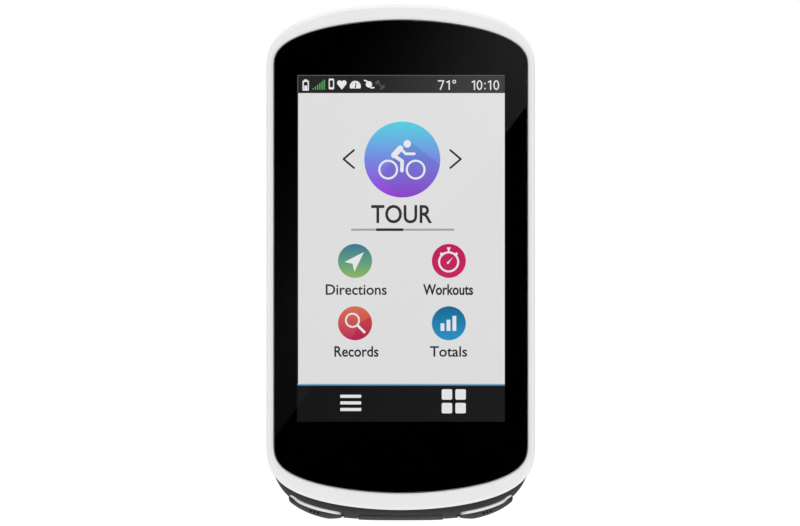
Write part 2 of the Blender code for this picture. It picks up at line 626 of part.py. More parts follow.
clear_scene()
PARTS = new_collection("cycling_computer")
CUTTERS = new_collection("cutters")
build_front()
build_display()
build_structure()
build_electronics()
build_battery()
build_ports()
build_rear_cover()
build_mount()
build_keys()
build_weather_cap()
build_screws()
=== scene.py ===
"""Looks of the handlebar cycling computer: fine meshes, materials, the lit screen, stage and camera.

Inside this file a point is (x, depth, z) in millimetres, as in the design: depth runs
backwards from the bezel's front face, and z is the height above the body's middle.
place() turns such a point into the part's frame, in metres.
"""
import json
import math
from collections import namedtuple

import bmesh
import bpy
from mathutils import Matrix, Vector
from mathutils.geometry import delaunay_2d_cdt


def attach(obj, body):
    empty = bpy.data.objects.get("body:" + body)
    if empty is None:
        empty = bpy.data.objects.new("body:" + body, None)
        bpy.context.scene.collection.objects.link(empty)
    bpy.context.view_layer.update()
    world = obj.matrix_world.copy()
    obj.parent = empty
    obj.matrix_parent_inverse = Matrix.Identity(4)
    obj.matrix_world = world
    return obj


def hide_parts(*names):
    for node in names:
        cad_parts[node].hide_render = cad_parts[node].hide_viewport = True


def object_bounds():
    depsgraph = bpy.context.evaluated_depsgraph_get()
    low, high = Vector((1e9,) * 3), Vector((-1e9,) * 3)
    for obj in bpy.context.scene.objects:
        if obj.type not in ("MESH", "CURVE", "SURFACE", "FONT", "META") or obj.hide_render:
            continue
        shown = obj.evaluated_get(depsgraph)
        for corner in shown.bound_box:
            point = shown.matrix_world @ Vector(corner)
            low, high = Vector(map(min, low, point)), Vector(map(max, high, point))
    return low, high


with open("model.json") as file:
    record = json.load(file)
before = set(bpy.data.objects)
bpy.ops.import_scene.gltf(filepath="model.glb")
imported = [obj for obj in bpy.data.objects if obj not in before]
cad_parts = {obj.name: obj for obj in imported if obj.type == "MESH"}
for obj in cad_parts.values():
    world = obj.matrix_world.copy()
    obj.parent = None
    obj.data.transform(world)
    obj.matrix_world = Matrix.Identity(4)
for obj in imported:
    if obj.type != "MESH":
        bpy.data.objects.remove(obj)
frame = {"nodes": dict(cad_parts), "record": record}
CAD_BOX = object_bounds()

MM = 0.001

# The design's driving dimensions, in millimetres
DEPTH = 19.0
MOUNT_Z = 6.0
DISPLAY_WIDTH = 45.7
DISPLAY_HEIGHT = 76.2
DISPLAY_Z = 3.2
WALL = 1.6
GAP = 0.3
BEZEL_BACK = 6.5
GLASS_FRONT = 0.3
GLASS_BACK = 1.4
LEDGE_FRONT = 1.9
LEDGE_BACK = 2.9
CASE_FRONT = 6.8
CASE_BACK = 15.3
CASE_FLOOR = 13.7
SCREW_SEAT = 12.6
CASE_SCREWS = ((20.0, 45.5), (-20.0, 45.5), (20.0, -42.5), (-20.0, -42.5))
KEY_X = 18.9
KEY_TILT = math.radians(18.0)
LUG_RADIUS = 15.75
LUG_NECK = 12.3
LUG_FRONT = 17.1
CONTACT_RADIUS = 20.5
KEY_NEAR = 8.9
KEY_FAR = 12.6
KEY_HALF_LENGTH = 6.4
KEY_PROUD = 0.75
TRIM_NEAR = 7.9
TRIM_FAR = 8.75
TRIM_PROUD = 0.3
POCKET_NEAR = 7.72      # this and the next two are finer than the design's, for a tight joint
POCKET_FAR = 12.75
POCKET_HALF_LENGTH = 6.43
FLANGE_FRONT = -2.4
FLANGE_BACK = -3.0
POWER_KEY_FAR = 11.6
POWER_KEY_HALF_LENGTH = 5.2
POWER_KEY_PROUD = 0.35
CAP_NEAR = 8.1
CAP_FAR = 13.4
CAP_HALF_WIDTH = 9.4
CAP_PROUD = 0.2
CAP_JOINT = 0.03        # the fine gap at the cap's ends
SOCKET_MOUTH_Z = -53.6

FINE_STEPS = 44         # points in a quarter of a visible outline
TURN_STEPS = 96         # points round the mount
SMOOTH_ANGLE = 32.0     # degrees between faces from which an edge stays sharp
KEY_ROOT = -2.6         # how far inside the case's surface a key starts
POCKET_FLOOR = -4.0     # the same for the openings round the keys
CLEAR_OF_CASE = 3.0     # how far outside the surface a cutting shape ends
PRINT_MARGIN = 0.05     # the border print keeps this far from the lit picture

# The lit picture, in thin layers before the panel
LAYER = 0.028
PICTURE_BACK = 1.93
SCREEN_GAIN = 1.07      # makes up for what the glass over the screen takes away
CAPITAL_SHARE = 0.69    # height of a capital in the built-in font

# The card that the glass mirrors: brightness against the distance from its edge, and along the edge
CARD_DISTANCE = 300.0
CARD_FADE = 45.0
CARD_REACH = 57.0
CARD_FALL = ((0.0, 1.0), (0.25, 0.97), (0.37, 0.80), (0.50, 0.56), (0.63, 0.33), (0.76, 0.16), (0.90, 0.03),
             (1.0, 0.0))
CARD_RISE = ((0.0, 0.040), (0.16, 0.046), (0.33, 0.060), (0.50, 0.070), (0.76, 0.116), (0.88, 0.165),
             (1.0, 0.21))

# Stage and camera
CAMERA_LENS = 850.0
SENSOR = 36.0
VIEW_WIDTH = 175.8      # the width of the picture at the bezel's face
VIEW_X, VIEW_Z = -0.17, 0.0
FLOOR_DROP = 6.3        # room below for the open cap
FLOOR_HALF = 1.6        # metres
FLOOR_GLOW = 0.80
WORLD_MATT = (0.47, 0.76)     # the sky's light on matt surfaces, at the horizon and overhead
WORLD_GLOSS = (0.12, 1.00)    # the same in reflections, at the horizon and straight up or down

# An outline is straight at its sides and has a superellipse at each end:
# (x / half_width) ** n + (z / rise) ** m = 1
Outline = namedtuple("Outline", "half_width top top_rise top_n top_m bottom bottom_rise bottom_n bottom_m")
BEZEL = Outline(29.5, 56.8, 15.0, 2.1, 2.8, -54.3, 17.0, 1.9, 3.8)
GLASS = Outline(27.85, 53.4, 10.0, 1.8, 2.5, -50.5, 11.1, 1.8, 3.0)
CASE = (
    (CASE_FRONT, Outline(28.9, 56.1, 15.0, 2.1, 2.8, -54.7, 17.8, 2.0, 3.8)),
    (7.4, Outline(28.95, 56.1, 15.0, 2.1, 2.8, -55.35, 19.0, 2.35, 3.8)),
    (8.2, Outline(28.9, 56.0, 15.0, 2.1, 2.8, -55.8, 20.0, 2.6, 3.8)),
    (9.2, Outline(28.8, 55.8, 15.0, 2.1, 2.8, -56.2, 21.5, 3.0, 3.9)),
    (10.5, Outline(28.5, 55.3, 15.0, 2.1, 2.8, -56.5, 24.0, 3.4, 3.9)),
    (12.2, Outline(27.9, 54.3, 15.0, 2.1, 2.8, -56.2, 23.0, 3.2, 3.7)),
    (13.6, Outline(26.4, 52.3, 14.0, 2.2, 2.7, -54.9, 21.0, 2.9, 3.4)),
    (14.6, Outline(24.0, 49.6, 13.0, 2.3, 2.6, -52.4, 19.0, 2.6, 3.0)),
    (15.15, Outline(21.9, 47.2, 12.0, 2.3, 2.6, -50.0, 17.0, 2.5, 2.8)),
    (CASE_BACK, Outline(19.8, 45.0, 11.0, 2.3, 2.6, -47.8, 15.5, 2.4, 2.7)),
)
CASE_INSETS = ((CASE_FRONT, WALL), (8.2, WALL), (10.5, WALL), (12.2, 1.9), (13.2, 3.0), (CASE_FLOOR, 5.0))

# A place on the case for a key: x, z, and the angle of the outward normal from -Z
Spot = namedtuple("Spot", "x z tilt")
START_SPOT = Spot(KEY_X, -54.4, KEY_TILT)
LAP_SPOT = Spot(-KEY_X, -54.4, -KEY_TILT)
POWER_SPOT = Spot(-28.5, 24.0, math.radians(-90.0))
CAP_SPOT = Spot(0.0, -56.2, 0.0)


def place(x, depth, z):
    return Vector((x, depth - DEPTH, z - MOUNT_Z)) * MM


# ---------------------------------------------------------------- materials

NODE_SLOT = {sub["node"]: sub["material_slot"] for sub in frame["record"]["subparts"]}
MATERIALS = {}


def new_material(name, colour, roughness, metallic=0.0, **values):
    """A Principled material; values are further sockets, with _ for spaces."""
    made = bpy.data.materials.new(name)
    made.use_nodes = True
    shader = made.node_tree.nodes["Principled BSDF"]
    shader.inputs["Base Color"].default_value = (*colour, 1.0)
    shader.inputs["Roughness"].default_value = roughness
    shader.inputs["Metallic"].default_value = metallic
    for key, value in values.items():
        shader.inputs[key.replace("_", " ")].default_value = value
    MATERIALS[name] = made
    return made


def add_node(made, kind, inputs=None, **settings):
    node = made.node_tree.nodes.new(kind)
    for key, value in settings.items():
        setattr(node, key, value)
    for key, value in (inputs or {}).items():
        if isinstance(value, bpy.types.NodeSocket):
            made.node_tree.links.new(value, node.inputs[key])
        else:
            node.inputs[key].default_value = value
    return node


def shader_of(made):
    return made.node_tree.nodes["Principled BSDF"]


def feed(made, socket, output):
    made.node_tree.links.new(output, shader_of(made).inputs[socket])


def object_place(made, rotation=(0.0, 0.0, 0.0), scale=(1.0, 1.0, 1.0)):
    """Object coordinates in millimetres, turned and stretched."""
    source = add_node(made, "ShaderNodeTexCoord")
    mapped = add_node(made, "ShaderNodeMapping", {
        "Vector": source.outputs["Object"],
        "Rotation": rotation,
        "Scale": [1000.0 * part for part in scale],
    })
    return mapped.outputs["Vector"]


def noise(made, vector, size, detail=3.0):
    """Noise whose lumps are about size millimetres across."""
    inputs = {"Vector": vector, "Scale": 1.0 / size, "Detail": detail, "Roughness": 0.5}
    return add_node(made, "ShaderNodeTexNoise", inputs).outputs["Fac"]


def remap(made, value, low, high, start=0.3, end=0.7):
    node = add_node(made, "ShaderNodeMapRange", {
        "Value": value, "From Min": start, "From Max": end, "To Min": low, "To Max": high,
    })
    return node.outputs["Result"]


def ramp(made, value, stops):
    node = add_node(made, "ShaderNodeValToRGB", {"Fac": value})
    elements = node.color_ramp.elements
    elements[0].position, elements[0].color = stops[0][0], (*stops[0][1], 1.0)
    elements[1].position, elements[1].color = stops[-1][0], (*stops[-1][1], 1.0)
    for position, colour in stops[1:-1]:
        elements.new(position).color = (*colour, 1.0)
    return node.outputs["Color"]


def bump(made, height, distance, under=None):
    """Relief of a height in millimetres, over another relief if one is given."""
    inputs = {"Height": height, "Strength": 1.0, "Distance": distance * MM}
    if under is not None:
        inputs["Normal"] = under
    node = add_node(made, "ShaderNodeBump", inputs)
    feed(made, "Normal", node.outputs["Normal"])
    return node.outputs["Normal"]


def distance_along(made, vector, direction):
    node = add_node(made, "ShaderNodeVectorMath", {0: vector, 1: direction}, operation="DOT_PRODUCT")
    return node.outputs["Value"]


def toned(colour, share):
    return tuple(min(part * (1.0 + share), 1.0) for part in colour)


def grained(name, colour, roughness, grain, relief, tone=0.08, gloss=0.06, stretch=(1.0, 1.0, 1.0),
            patch=7.0, **values):
    """Moulded or machined stuff: faint patches of tone and gloss, and a grain in relief.

    grain and patch are sizes in millimetres, and relief is the grain's height in millimetres."""
    made = new_material(name, colour, roughness, **values)
    vector = object_place(made, scale=stretch)
    broad = noise(made, vector, patch, detail=4.0)
    fine = noise(made, vector, grain, detail=2.0)
    feed(made, "Base Color", ramp(made, broad, [(0.3, toned(colour, -tone)), (0.7, toned(colour, tone))]))
    shine = noise(made, vector, patch / 3.0)
    feed(made, "Roughness", remap(made, shine, roughness - gloss, roughness + gloss))
    bump(made, fine, relief)
    return made


def key_material():
    """Dark rubber with fine slanted ribs across the key."""
    colour = (0.036, 0.037, 0.039)
    made = new_material("key_rubber", colour, 0.55)
    vector = object_place(made)
    slanted = object_place(made, rotation=(0.0, math.radians(40.0), 0.0))
    ribs = add_node(made, "ShaderNodeTexWave", {
        "Vector": slanted, "Scale": 1.0, "Distortion": 0.4, "Detail": 1.0, "Detail Scale": 2.0,
    }, wave_type="BANDS", bands_direction="X", wave_profile="SIN")
    speckle = noise(made, vector, 0.12, detail=2.0)
    rib = ribs.outputs["Fac"]
    feed(made, "Base Color", ramp(made, rib, [(0.0, toned(colour, -0.35)), (1.0, toned(colour, 0.7))]))
    feed(made, "Roughness", remap(made, speckle, 0.45, 0.65))
    bump(made, rib, 0.06, under=bump(made, speckle, 0.02))


def board_material():
    """Green solder mask over copper traces."""
    made = new_material("board", (0.02, 0.12, 0.06), 0.35)
    vector = object_place(made)
    cells = add_node(made, "ShaderNodeTexBrick", {
        "Vector": object_place(made, rotation=(math.radians(90.0), 0.0, 0.0)), "Scale": 0.35,
        "Mortar Size": 0.03, "Mortar Smooth": 0.2,
        "Color1": (0.012, 0.085, 0.045, 1.0), "Color2": (0.016, 0.11, 0.055, 1.0),
        "Mortar": (0.05, 0.20, 0.09, 1.0),
    })
    feed(made, "Base Color", cells.outputs["Color"])
    feed(made, "Roughness", remap(made, noise(made, vector, 1.5), 0.28, 0.42))
    bump(made, cells.outputs["Fac"], 0.03)


def flex_material():
    """Amber polyimide with copper lines showing through."""
    made = new_material("flex", (0.45, 0.18, 0.03), 0.32)
    lines = add_node(made, "ShaderNodeTexWave", {"Vector": object_place(made), "Scale": 0.8},
                     wave_type="BANDS", bands_direction="X")
    line = lines.outputs["Fac"]
    feed(made, "Base Color", ramp(made, line, [(0.4, (0.42, 0.15, 0.02)), (0.6, (0.62, 0.28, 0.07))]))
    bump(made, line, 0.02)


def glass_material(name, roughness, ior):
    """Clear glass with the faintest unevenness in its polish."""
    made = new_material(name, (1.0, 1.0, 1.0), roughness, Transmission_Weight=1.0, IOR=ior)
    vector = object_place(made)
    feed(made, "Roughness", remap(made, noise(made, vector, 9.0), roughness * 0.6, roughness * 1.4))


def print_material():
    """Black ink on the back of the glass."""
    made = new_material("black_print", (0.0004, 0.0004, 0.0005), 0.6, Specular_IOR_Level=0.0)
    tone = noise(made, object_place(made), 3.0)
    deep, light = (0.0002, 0.0002, 0.0003), (0.0006, 0.0006, 0.0007)
    feed(made, "Base Color", ramp(made, tone, [(0.3, deep), (0.7, light)]))


def greys(*stops):
    """Stops of a ramp from pairs of a place and one level."""
    return [(share, (level,) * 3) for share, level in stops]


def trim_material():
    """Bright brushed metal with painted shade: its colour is painted darker towards the strips' inner ends,
    in place of the reflection fading there.
    """
    made = grained("bright_trim", (0.86, 0.87, 0.88), 0.26, 0.05, 0.004, tone=0.03, metallic=1.0,
                   stretch=(0.08, 1.0, 1.0))
    split = add_node(made, "ShaderNodeSeparateXYZ", {"Vector": object_place(made)})
    across = add_node(made, "ShaderNodeMath", {0: split.outputs["X"]}, operation="ABSOLUTE")
    # painted shade: the base colour is multiplied down towards the strips' inner ends, standing in for a
    # reflection that fades there
    painted_shade = ramp(made, remap(made, across.outputs["Value"], 0.0, 1.0, 12.2, 16.2),
                greys((0.0, 0.04), (0.2, 0.06), (0.36, 0.65), (0.6, 0.95), (1.0, 1.0)))
    own = shader_of(made).inputs["Base Color"].links[0].from_socket
    mixed = add_node(made, "ShaderNodeVectorMath", {0: own, 1: painted_shade}, operation="MULTIPLY")
    feed(made, "Base Color", mixed.outputs["Vector"])


def glow(name, stops, start, end, direction=(0.0, 0.0, 1.0)):
    """Light from the display: a run of colours between two distances along a direction, in mm."""
    made = new_material(name, (0.0, 0.0, 0.0), 0.9, Specular_IOR_Level=0.0, Emission_Strength=SCREEN_GAIN)
    share = remap(made, distance_along(made, object_place(made), direction), 0.0, 1.0, start, end)
    feed(made, "Emission Color", ramp(made, share, [(at, linear(colour)) for at, colour in stops]))
    return made


def disc_glow(name, stops, z, radius):
    """The same from the bottom to the top of a round icon."""
    glow(name, stops, z - radius - MOUNT_Z, z + radius - MOUNT_Z)


def reflection_glow(name, normal, along, edge_at):
    """What the glass mirrors from the card: brightest beside an edge, fading away from it and to one end.

    normal and along are unit vectors in millimetres of the card, and edge_at is the edge's own distance."""
    made = new_material(name, (0.0, 0.0, 0.0), 0.9, Specular_IOR_Level=0.0, Emission_Strength=1.0)
    vector = object_place(made)
    away = remap(made, distance_along(made, vector, normal), 0.0, 1.0, edge_at, edge_at + CARD_FADE)
    down = remap(made, distance_along(made, vector, along), 0.0, 1.0, -CARD_REACH, CARD_REACH)
    fade = ramp(made, away, greys(*CARD_FALL))
    rise = ramp(made, down, greys(*CARD_RISE))
    both = add_node(made, "ShaderNodeVectorMath", {0: fade, 1: rise}, operation="MULTIPLY")
    feed(made, "Emission Color", both.outputs["Vector"])
    return made


def linear(colour):
    """A display colour of 0 to 255 as linear light."""
    shares = [part / 255.0 for part in colour]
    return tuple(s / 12.92 if s <= 0.04045 else ((s + 0.055) / 1.055) ** 2.4 for s in shares)


def floor_material():
    """Pale paint, self-lit, that is clear when seen from beneath."""
    made = new_material("floor_paint", (0.3, 0.3, 0.3), 0.9, Emission_Color=(1.0, 1.0, 1.0, 1.0),
                        Emission_Strength=FLOOR_GLOW, Specular_IOR_Level=0.0)
    tone = noise(made, object_place(made), 300.0)
    feed(made, "Base Color", ramp(made, tone, greys((0.3, 0.29), (0.7, 0.31))))
    side = add_node(made, "ShaderNodeNewGeometry")
    clear = add_node(made, "ShaderNodeMath", {0: 1.0, 1: side.outputs["Backfacing"]}, operation="SUBTRACT")
    feed(made, "Alpha", clear.outputs["Value"])
    return made


def build_materials():
    grained("white_plastic", (0.855, 0.858, 0.86), 0.34, 0.10, 0.004, tone=0.012, gloss=0.05)
    grained("dark_plastic", (0.024, 0.0245, 0.0255), 0.56, 0.26, 0.014, tone=0.05, gloss=0.02, patch=14.0,
            Specular_IOR_Level=0.3)
    grained("black_plastic", (0.014, 0.014, 0.016), 0.46, 0.09, 0.014, tone=0.15)
    grained("cap_rubber", (0.040, 0.040, 0.042), 0.66, 0.13, 0.010, tone=0.10, Specular_IOR_Level=0.3)
    grained("seal_rubber", (0.050, 0.050, 0.055), 0.70, 0.15, 0.010)
    trim_material()
    grained("steel", (0.55, 0.56, 0.58), 0.34, 0.06, 0.004, tone=0.05, metallic=1.0, stretch=(1.0, 1.0, 0.06))
    grained("black_steel", (0.035, 0.035, 0.038), 0.38, 0.08, 0.006, metallic=0.8)
    grained("gold", (0.85, 0.60, 0.24), 0.22, 0.06, 0.003, tone=0.04, metallic=1.0)
    grained("adhesive", (0.03, 0.03, 0.03), 0.80, 0.20, 0.020)
    grained("light_guide", (0.75, 0.78, 0.80), 0.15, 0.50, 0.004, tone=0.02)
    grained("ceramic", (0.62, 0.56, 0.44), 0.50, 0.08, 0.012)
    grained("foam", (0.08, 0.08, 0.085), 0.92, 0.18, 0.060, tone=0.20)
    grained("cell_wrap", (0.10, 0.16, 0.30), 0.38, 0.60, 0.015)
    grained("white_nylon", (0.75, 0.75, 0.72), 0.45, 0.12, 0.008)
    grained("lead_red", (0.55, 0.03, 0.02), 0.42, 0.15, 0.006)
    grained("lead_black", (0.02, 0.02, 0.02), 0.42, 0.15, 0.006)
    grained("panel_frame", (0.02, 0.02, 0.022), 0.40, 0.15, 0.006)
    key_material()
    board_material()
    flex_material()
    grained("key_mark", (0.003, 0.003, 0.003), 0.90, 0.10, 0.004, Specular_IOR_Level=0.05)
    glass_material("black_glass", 0.006, 1.5)
    glass_material("clear_film", 0.004, 1.02)
    print_material()


# ------------------------------------------------------------ mesh building

def add_object(name, data):
    obj = bpy.data.objects.new(name, data)
    bpy.context.scene.collection.objects.link(obj)
    return obj


def add_mesh(name, bm):
    mesh = bpy.data.meshes.new(name)
    bm.to_mesh(mesh)
    bm.free()
    return add_object(name, mesh)


def finish_piece(name, bm, material=None, body="case", slot=None, nodes=()):
    """Turn a bmesh into a piece; with no material it is a tool for a Boolean."""
    bmesh.ops.recalc_face_normals(bm, faces=bm.faces)
    obj = add_mesh(name, bm)
    if material is not None:
        dress(obj, material, body, nodes)
    return obj


def dress(obj, material, body="case", nodes=()):
    """Give an object its finish, body and the nodes it stands for."""
    obj.data.materials.append(MATERIALS[material])
    smooth(obj)
    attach(obj, body)
    if nodes:
        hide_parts(*nodes)


def smooth(obj, angle=SMOOTH_ANGLE):
    obj.data.shade_smooth()
    obj.data.set_sharp_from_angle(angle=math.radians(angle))


def cut(target, tool):
    combine(target, tool, "DIFFERENCE")


def join(target, tool):
    combine(target, tool, "UNION")


def combine(target, tool, operation):
    """Join a tool to the target or cut it away, and remove the tool."""
    change = target.modifiers.new("Combine", "BOOLEAN")
    change.operation = operation
    change.solver = "EXACT"
    change.object = tool
    bpy.context.view_layer.update()
    mesh = bpy.data.meshes.new_from_object(target.evaluated_get(bpy.context.evaluated_depsgraph_get()))
    target.modifiers.clear()
    spent = target.data
    target.data = mesh
    bpy.data.meshes.remove(spent)
    bpy.data.objects.remove(tool)


def loft(name, rings, material=None, body="case", looped=False, **facts):
    """Skin over rings of equal length, capped at both ends or run back into the first."""
    bm = bmesh.new()
    rows = [[bm.verts.new(point) for point in ring] for ring in rings]
    pairs = list(zip(rows, rows[1:]))
    if looped:
        pairs.append((rows[-1], rows[0]))
    for first, second in pairs:
        for i in range(len(first)):
            j = (i + 1) % len(first)
            bm.faces.new((first[i], first[j], second[j], second[i]))
    if not looped:
        bm.faces.new(rows[0])
        bm.faces.new(rows[-1])
    return finish_piece(name, bm, material, body, **facts)


def block(name, centre, size, bevel=0.0, segments=3):
    """A rounded box for Booleans; size is (x, depth, z)."""
    bm = bmesh.new()
    bmesh.ops.create_cube(bm, size=1.0)
    bmesh.ops.scale(bm, vec=Vector(size) * MM, verts=bm.verts)
    if bevel:
        bmesh.ops.bevel(bm, geom=bm.edges[:], offset=bevel * MM, segments=segments, affect="EDGES",
                        profile=0.5)
    bmesh.ops.translate(bm, vec=place(*centre), verts=bm.verts)
    return finish_piece(name, bm)


def round_ring(x, z, radius, depth, steps=TURN_STEPS):
    """A circle across the depth axis; radius is a number or a function of the angle."""
    points = []
    for i in range(steps):
        angle = 2 * math.pi * i / steps
        reach_out = radius(angle) if callable(radius) else radius
        points.append(place(x + reach_out * math.cos(angle), depth, z + reach_out * math.sin(angle)))
    return points


def turned(name, x, z, profile, steps=48, **facts):
    """A solid from (radius, depth) points; each radius may be a function of the angle."""
    return loft(name, [round_ring(x, z, radius, depth, steps) for radius, depth in profile], **facts)


# Outlines and the case's surface

def grown(outline, amount):
    return outline._replace(
        half_width=outline.half_width + amount,
        top=outline.top + amount,
        top_rise=outline.top_rise + amount,
        bottom=outline.bottom - amount,
        bottom_rise=outline.bottom_rise + amount,
    )


def between(first, second, share):
    return Outline(*(a + (b - a) * share for a, b in zip(first, second)))


def outline_points(outline, steps=FINE_STEPS):
    """The closed outline as (x, z) points, from the right-hand side up over the top and round."""
    ends = (
        (outline.top - outline.top_rise, outline.top_rise, outline.top_n, outline.top_m),
        (outline.bottom + outline.bottom_rise, -outline.bottom_rise, outline.bottom_n, outline.bottom_m),
    )
    points = []
    for side, (base, rise, n, m) in zip((1, -1), ends):
        for i in range(2 * steps + 1):
            angle = math.pi / 2 * i / steps
            across = math.cos(angle)
            up = max(math.sin(angle), 0.0)
            x = side * math.copysign(abs(across) ** (2 / n), across) * outline.half_width
            points.append((x, base + rise * up ** (2 / m)))
    return points


def ring(outline, depth, steps=FINE_STEPS):
    return [place(x, depth, z) for x, z in outline_points(outline, steps)]


def case_section(depth):
    """The rear cover's outline at a depth, on a smooth curve through the design's sections."""
    last = len(CASE) - 1
    index = 0
    while index < last - 1 and depth > CASE[index + 1][0]:
        index += 1
    (front, first), (back, second) = CASE[index], CASE[index + 1]
    share = min(max((depth - front) / (back - front), 0.0), 1.0)
    before_depth, before = CASE[max(index - 1, 0)]
    after_depth, after = CASE[min(index + 2, last)]
    fields = []
    for a, b, c, d in zip(before, first, second, after):
        run = back - front
        lead_in = (c - a) / (back - before_depth) * run
        lead_out = (d - b) / (after_depth - front) * run
        if (c - b) * lead_in < 0:
            lead_in = 0.0
        if (c - b) * lead_out < 0:
            lead_out = 0.0
        t, u = share, 1 - share
        bend = lead_in * t * u * u - lead_out * t * t * u
        fields.append(b * (1 + 2 * t) * u * u + c * t * t * (3 - 2 * t) + bend)
    return Outline(*fields)


def within(outline, x, z):
    across = min(abs(x) / outline.half_width, 2.0)
    above = z - (outline.top - outline.top_rise)
    if above > 0:
        return across ** outline.top_n + (above / outline.top_rise) ** outline.top_m < 1
    below = (outline.bottom + outline.bottom_rise) - z
    if below > 0:
        return across ** outline.bottom_n + (below / outline.bottom_rise) ** outline.bottom_m < 1
    return across < 1


def on_spot(spot, along, out):
    """(x, z) of a point at a distance along the case's edge and outwards from a spot."""
    x = spot.x + along * math.cos(spot.tilt) + out * math.sin(spot.tilt)
    z = spot.z + along * math.sin(spot.tilt) - out * math.cos(spot.tilt)
    return x, z


def reach(spot, along, outline):
    """How far out of the spot the case's surface lies, found by halving."""
    low, high = -10.0, 8.0
    for _ in range(18):
        middle = (low + high) / 2
        if within(outline, *on_spot(spot, along, middle)):
            low = middle
        else:
            high = middle
    return low


def edge_solid(name, spot, half_length, near, far, inner, outer, corner=None, edge=0.0, stations=9,
               **facts):
    """A pill or rounded bar set in the case's edge, its faces following the case's surface.

    near and far are depths; inner and outer are distances from the surface, outwards.
    outer may be a function of the distance along the edge."""
    half = (far - near) / 2
    middle = (far + near) / 2
    corner = corner or half
    straight = half_length - corner
    turns = [math.radians(84.0) * (1 - i / 7) for i in range(8)]
    places = [(-straight - corner * math.sin(a), half - corner * (1 - math.cos(a))) for a in turns]
    places += [(straight * (2 * (i + 1) / (stations + 1) - 1), half) for i in range(stations)]
    places += [(-along, width) for along, width in reversed(places[:8])]
    rounding = [math.radians(90.0) * i / 4 for i in range(5)]
    rings = []
    for along, width in places:
        drop = min(edge, 0.7 * width)
        end_drop = edge * max(0.0, (abs(along) - half_length + edge) / edge) ** 2 if edge else 0.0
        level = outer(along) if callable(outer) else outer
        top = level - 0.8 * min(end_drop, edge)
        section = [(share / 4 * (width - drop), top) for share in range(-4, 5)]
        if edge:
            left = [(-width + drop * (1 - math.sin(a)), top - drop * (1 - math.cos(a)))
                    for a in reversed(rounding[1:])]
            right = [(-offset, out) for offset, out in reversed(left)]
            section = left[::-1] + section + right[::-1]
        section += [(-share * width, inner) for share in (-1.0, -0.5, 0.0, 0.5, 1.0)]
        points = []
        for offset, out in section:
            depth = middle + offset
            x, z = on_spot(spot, along, reach(spot, along, case_section(depth)) + out)
            points.append(place(x, depth, z))
        rings.append(points)
    return loft(name, rings, **facts)


# Flat work: print and screen graphics

def flat_mesh(polygons, front, back):
    """A closed flat solid: the union of (x, z) polygons between two depths."""
    points, faces = [], []
    for polygon in polygons:
        area = sum(x0 * z1 - x1 * z0 for (x0, z0), (x1, z1) in zip(polygon, polygon[1:] + polygon[:1]))
        if area < 0:
            polygon = polygon[::-1]
        faces.append(list(range(len(points), len(points) + len(polygon))))
        points += [Vector(point) for point in polygon]
    corners, _, triangles, _, _, sources = delaunay_2d_cdt(points, [], faces, 1, 1e-5)
    triangles = [triangle for triangle, source in zip(triangles, sources) if source]
    bm = bmesh.new()
    fore = [bm.verts.new(place(x, front, z)) for x, z in corners]
    rear = [bm.verts.new(place(x, back, z)) for x, z in corners]
    uses = {}
    for triangle in triangles:
        bm.faces.new([fore[i] for i in triangle])
        bm.faces.new([rear[i] for i in reversed(triangle)])
        for i, j in zip(triangle, triangle[1:] + triangle[:1]):
            uses.setdefault(frozenset((i, j)), []).append((i, j))
    for pairs in uses.values():
        if len(pairs) == 1:
            i, j = pairs[0]
            bm.faces.new((fore[j], fore[i], rear[i], rear[j]))
    bmesh.ops.delete(bm, geom=[v for v in bm.verts if not v.link_faces], context="VERTS")
    return bm


def layer(number):
    """The front and back of a layer of the lit picture."""
    back = PICTURE_BACK - number * LAYER
    return back - LAYER + 0.006, back


def flat(name, polygons, number, material):
    """A piece of the lit picture, in the layer of a number."""
    return finish_piece(name, flat_mesh(polygons, *layer(number)), material, slot="screen")


def disc(x, z, radius, steps=48, start=0.0, end=360.0):
    whole = end - start >= 360.0
    count = steps if whole else steps + 1
    angles = [math.radians(start + (end - start) * i / steps) for i in range(count)]
    return [(x + radius * math.cos(a), z + radius * math.sin(a)) for a in angles]


def hoop(x, z, radius, stroke, steps=48):
    """A ring of a stroke's width, in two halves so that each is a plain polygon."""
    halves = []
    for first, last in ((0.0, 180.0), (180.0, 360.0)):
        outer = disc(x, z, radius + stroke / 2, steps // 2, first, last)
        inner = disc(x, z, radius - stroke / 2, steps // 2, first, last)
        halves.append(outer + inner[::-1])
    return halves


def stroke_line(points, width, round_ends=True):
    """A line of straight runs with round joints."""
    shapes = []
    for (x0, z0), (x1, z1) in zip(points, points[1:]):
        along = Vector((x1 - x0, z1 - z0)).normalized()
        side = Vector((-along.y, along.x)) * width / 2
        shapes.append([(x0 + side.x, z0 + side.y), (x0 - side.x, z0 - side.y),
                       (x1 - side.x, z1 - side.y), (x1 + side.x, z1 + side.y)])
    joints = points if round_ends else points[1:-1]
    return shapes + [disc(x, z, width / 2, 16) for x, z in joints]


def bar(left, bottom, right, top, corner=0.0):
    if not corner:
        return [(left, bottom), (right, bottom), (right, top), (left, top)]
    points = []
    for x, z, start in ((right - corner, top - corner, 0), (left + corner, top - corner, 90),
                        (left + corner, bottom + corner, 180), (right - corner, bottom + corner, 270)):
        points += disc(x, z, corner, 6, start, start + 90)
    return points


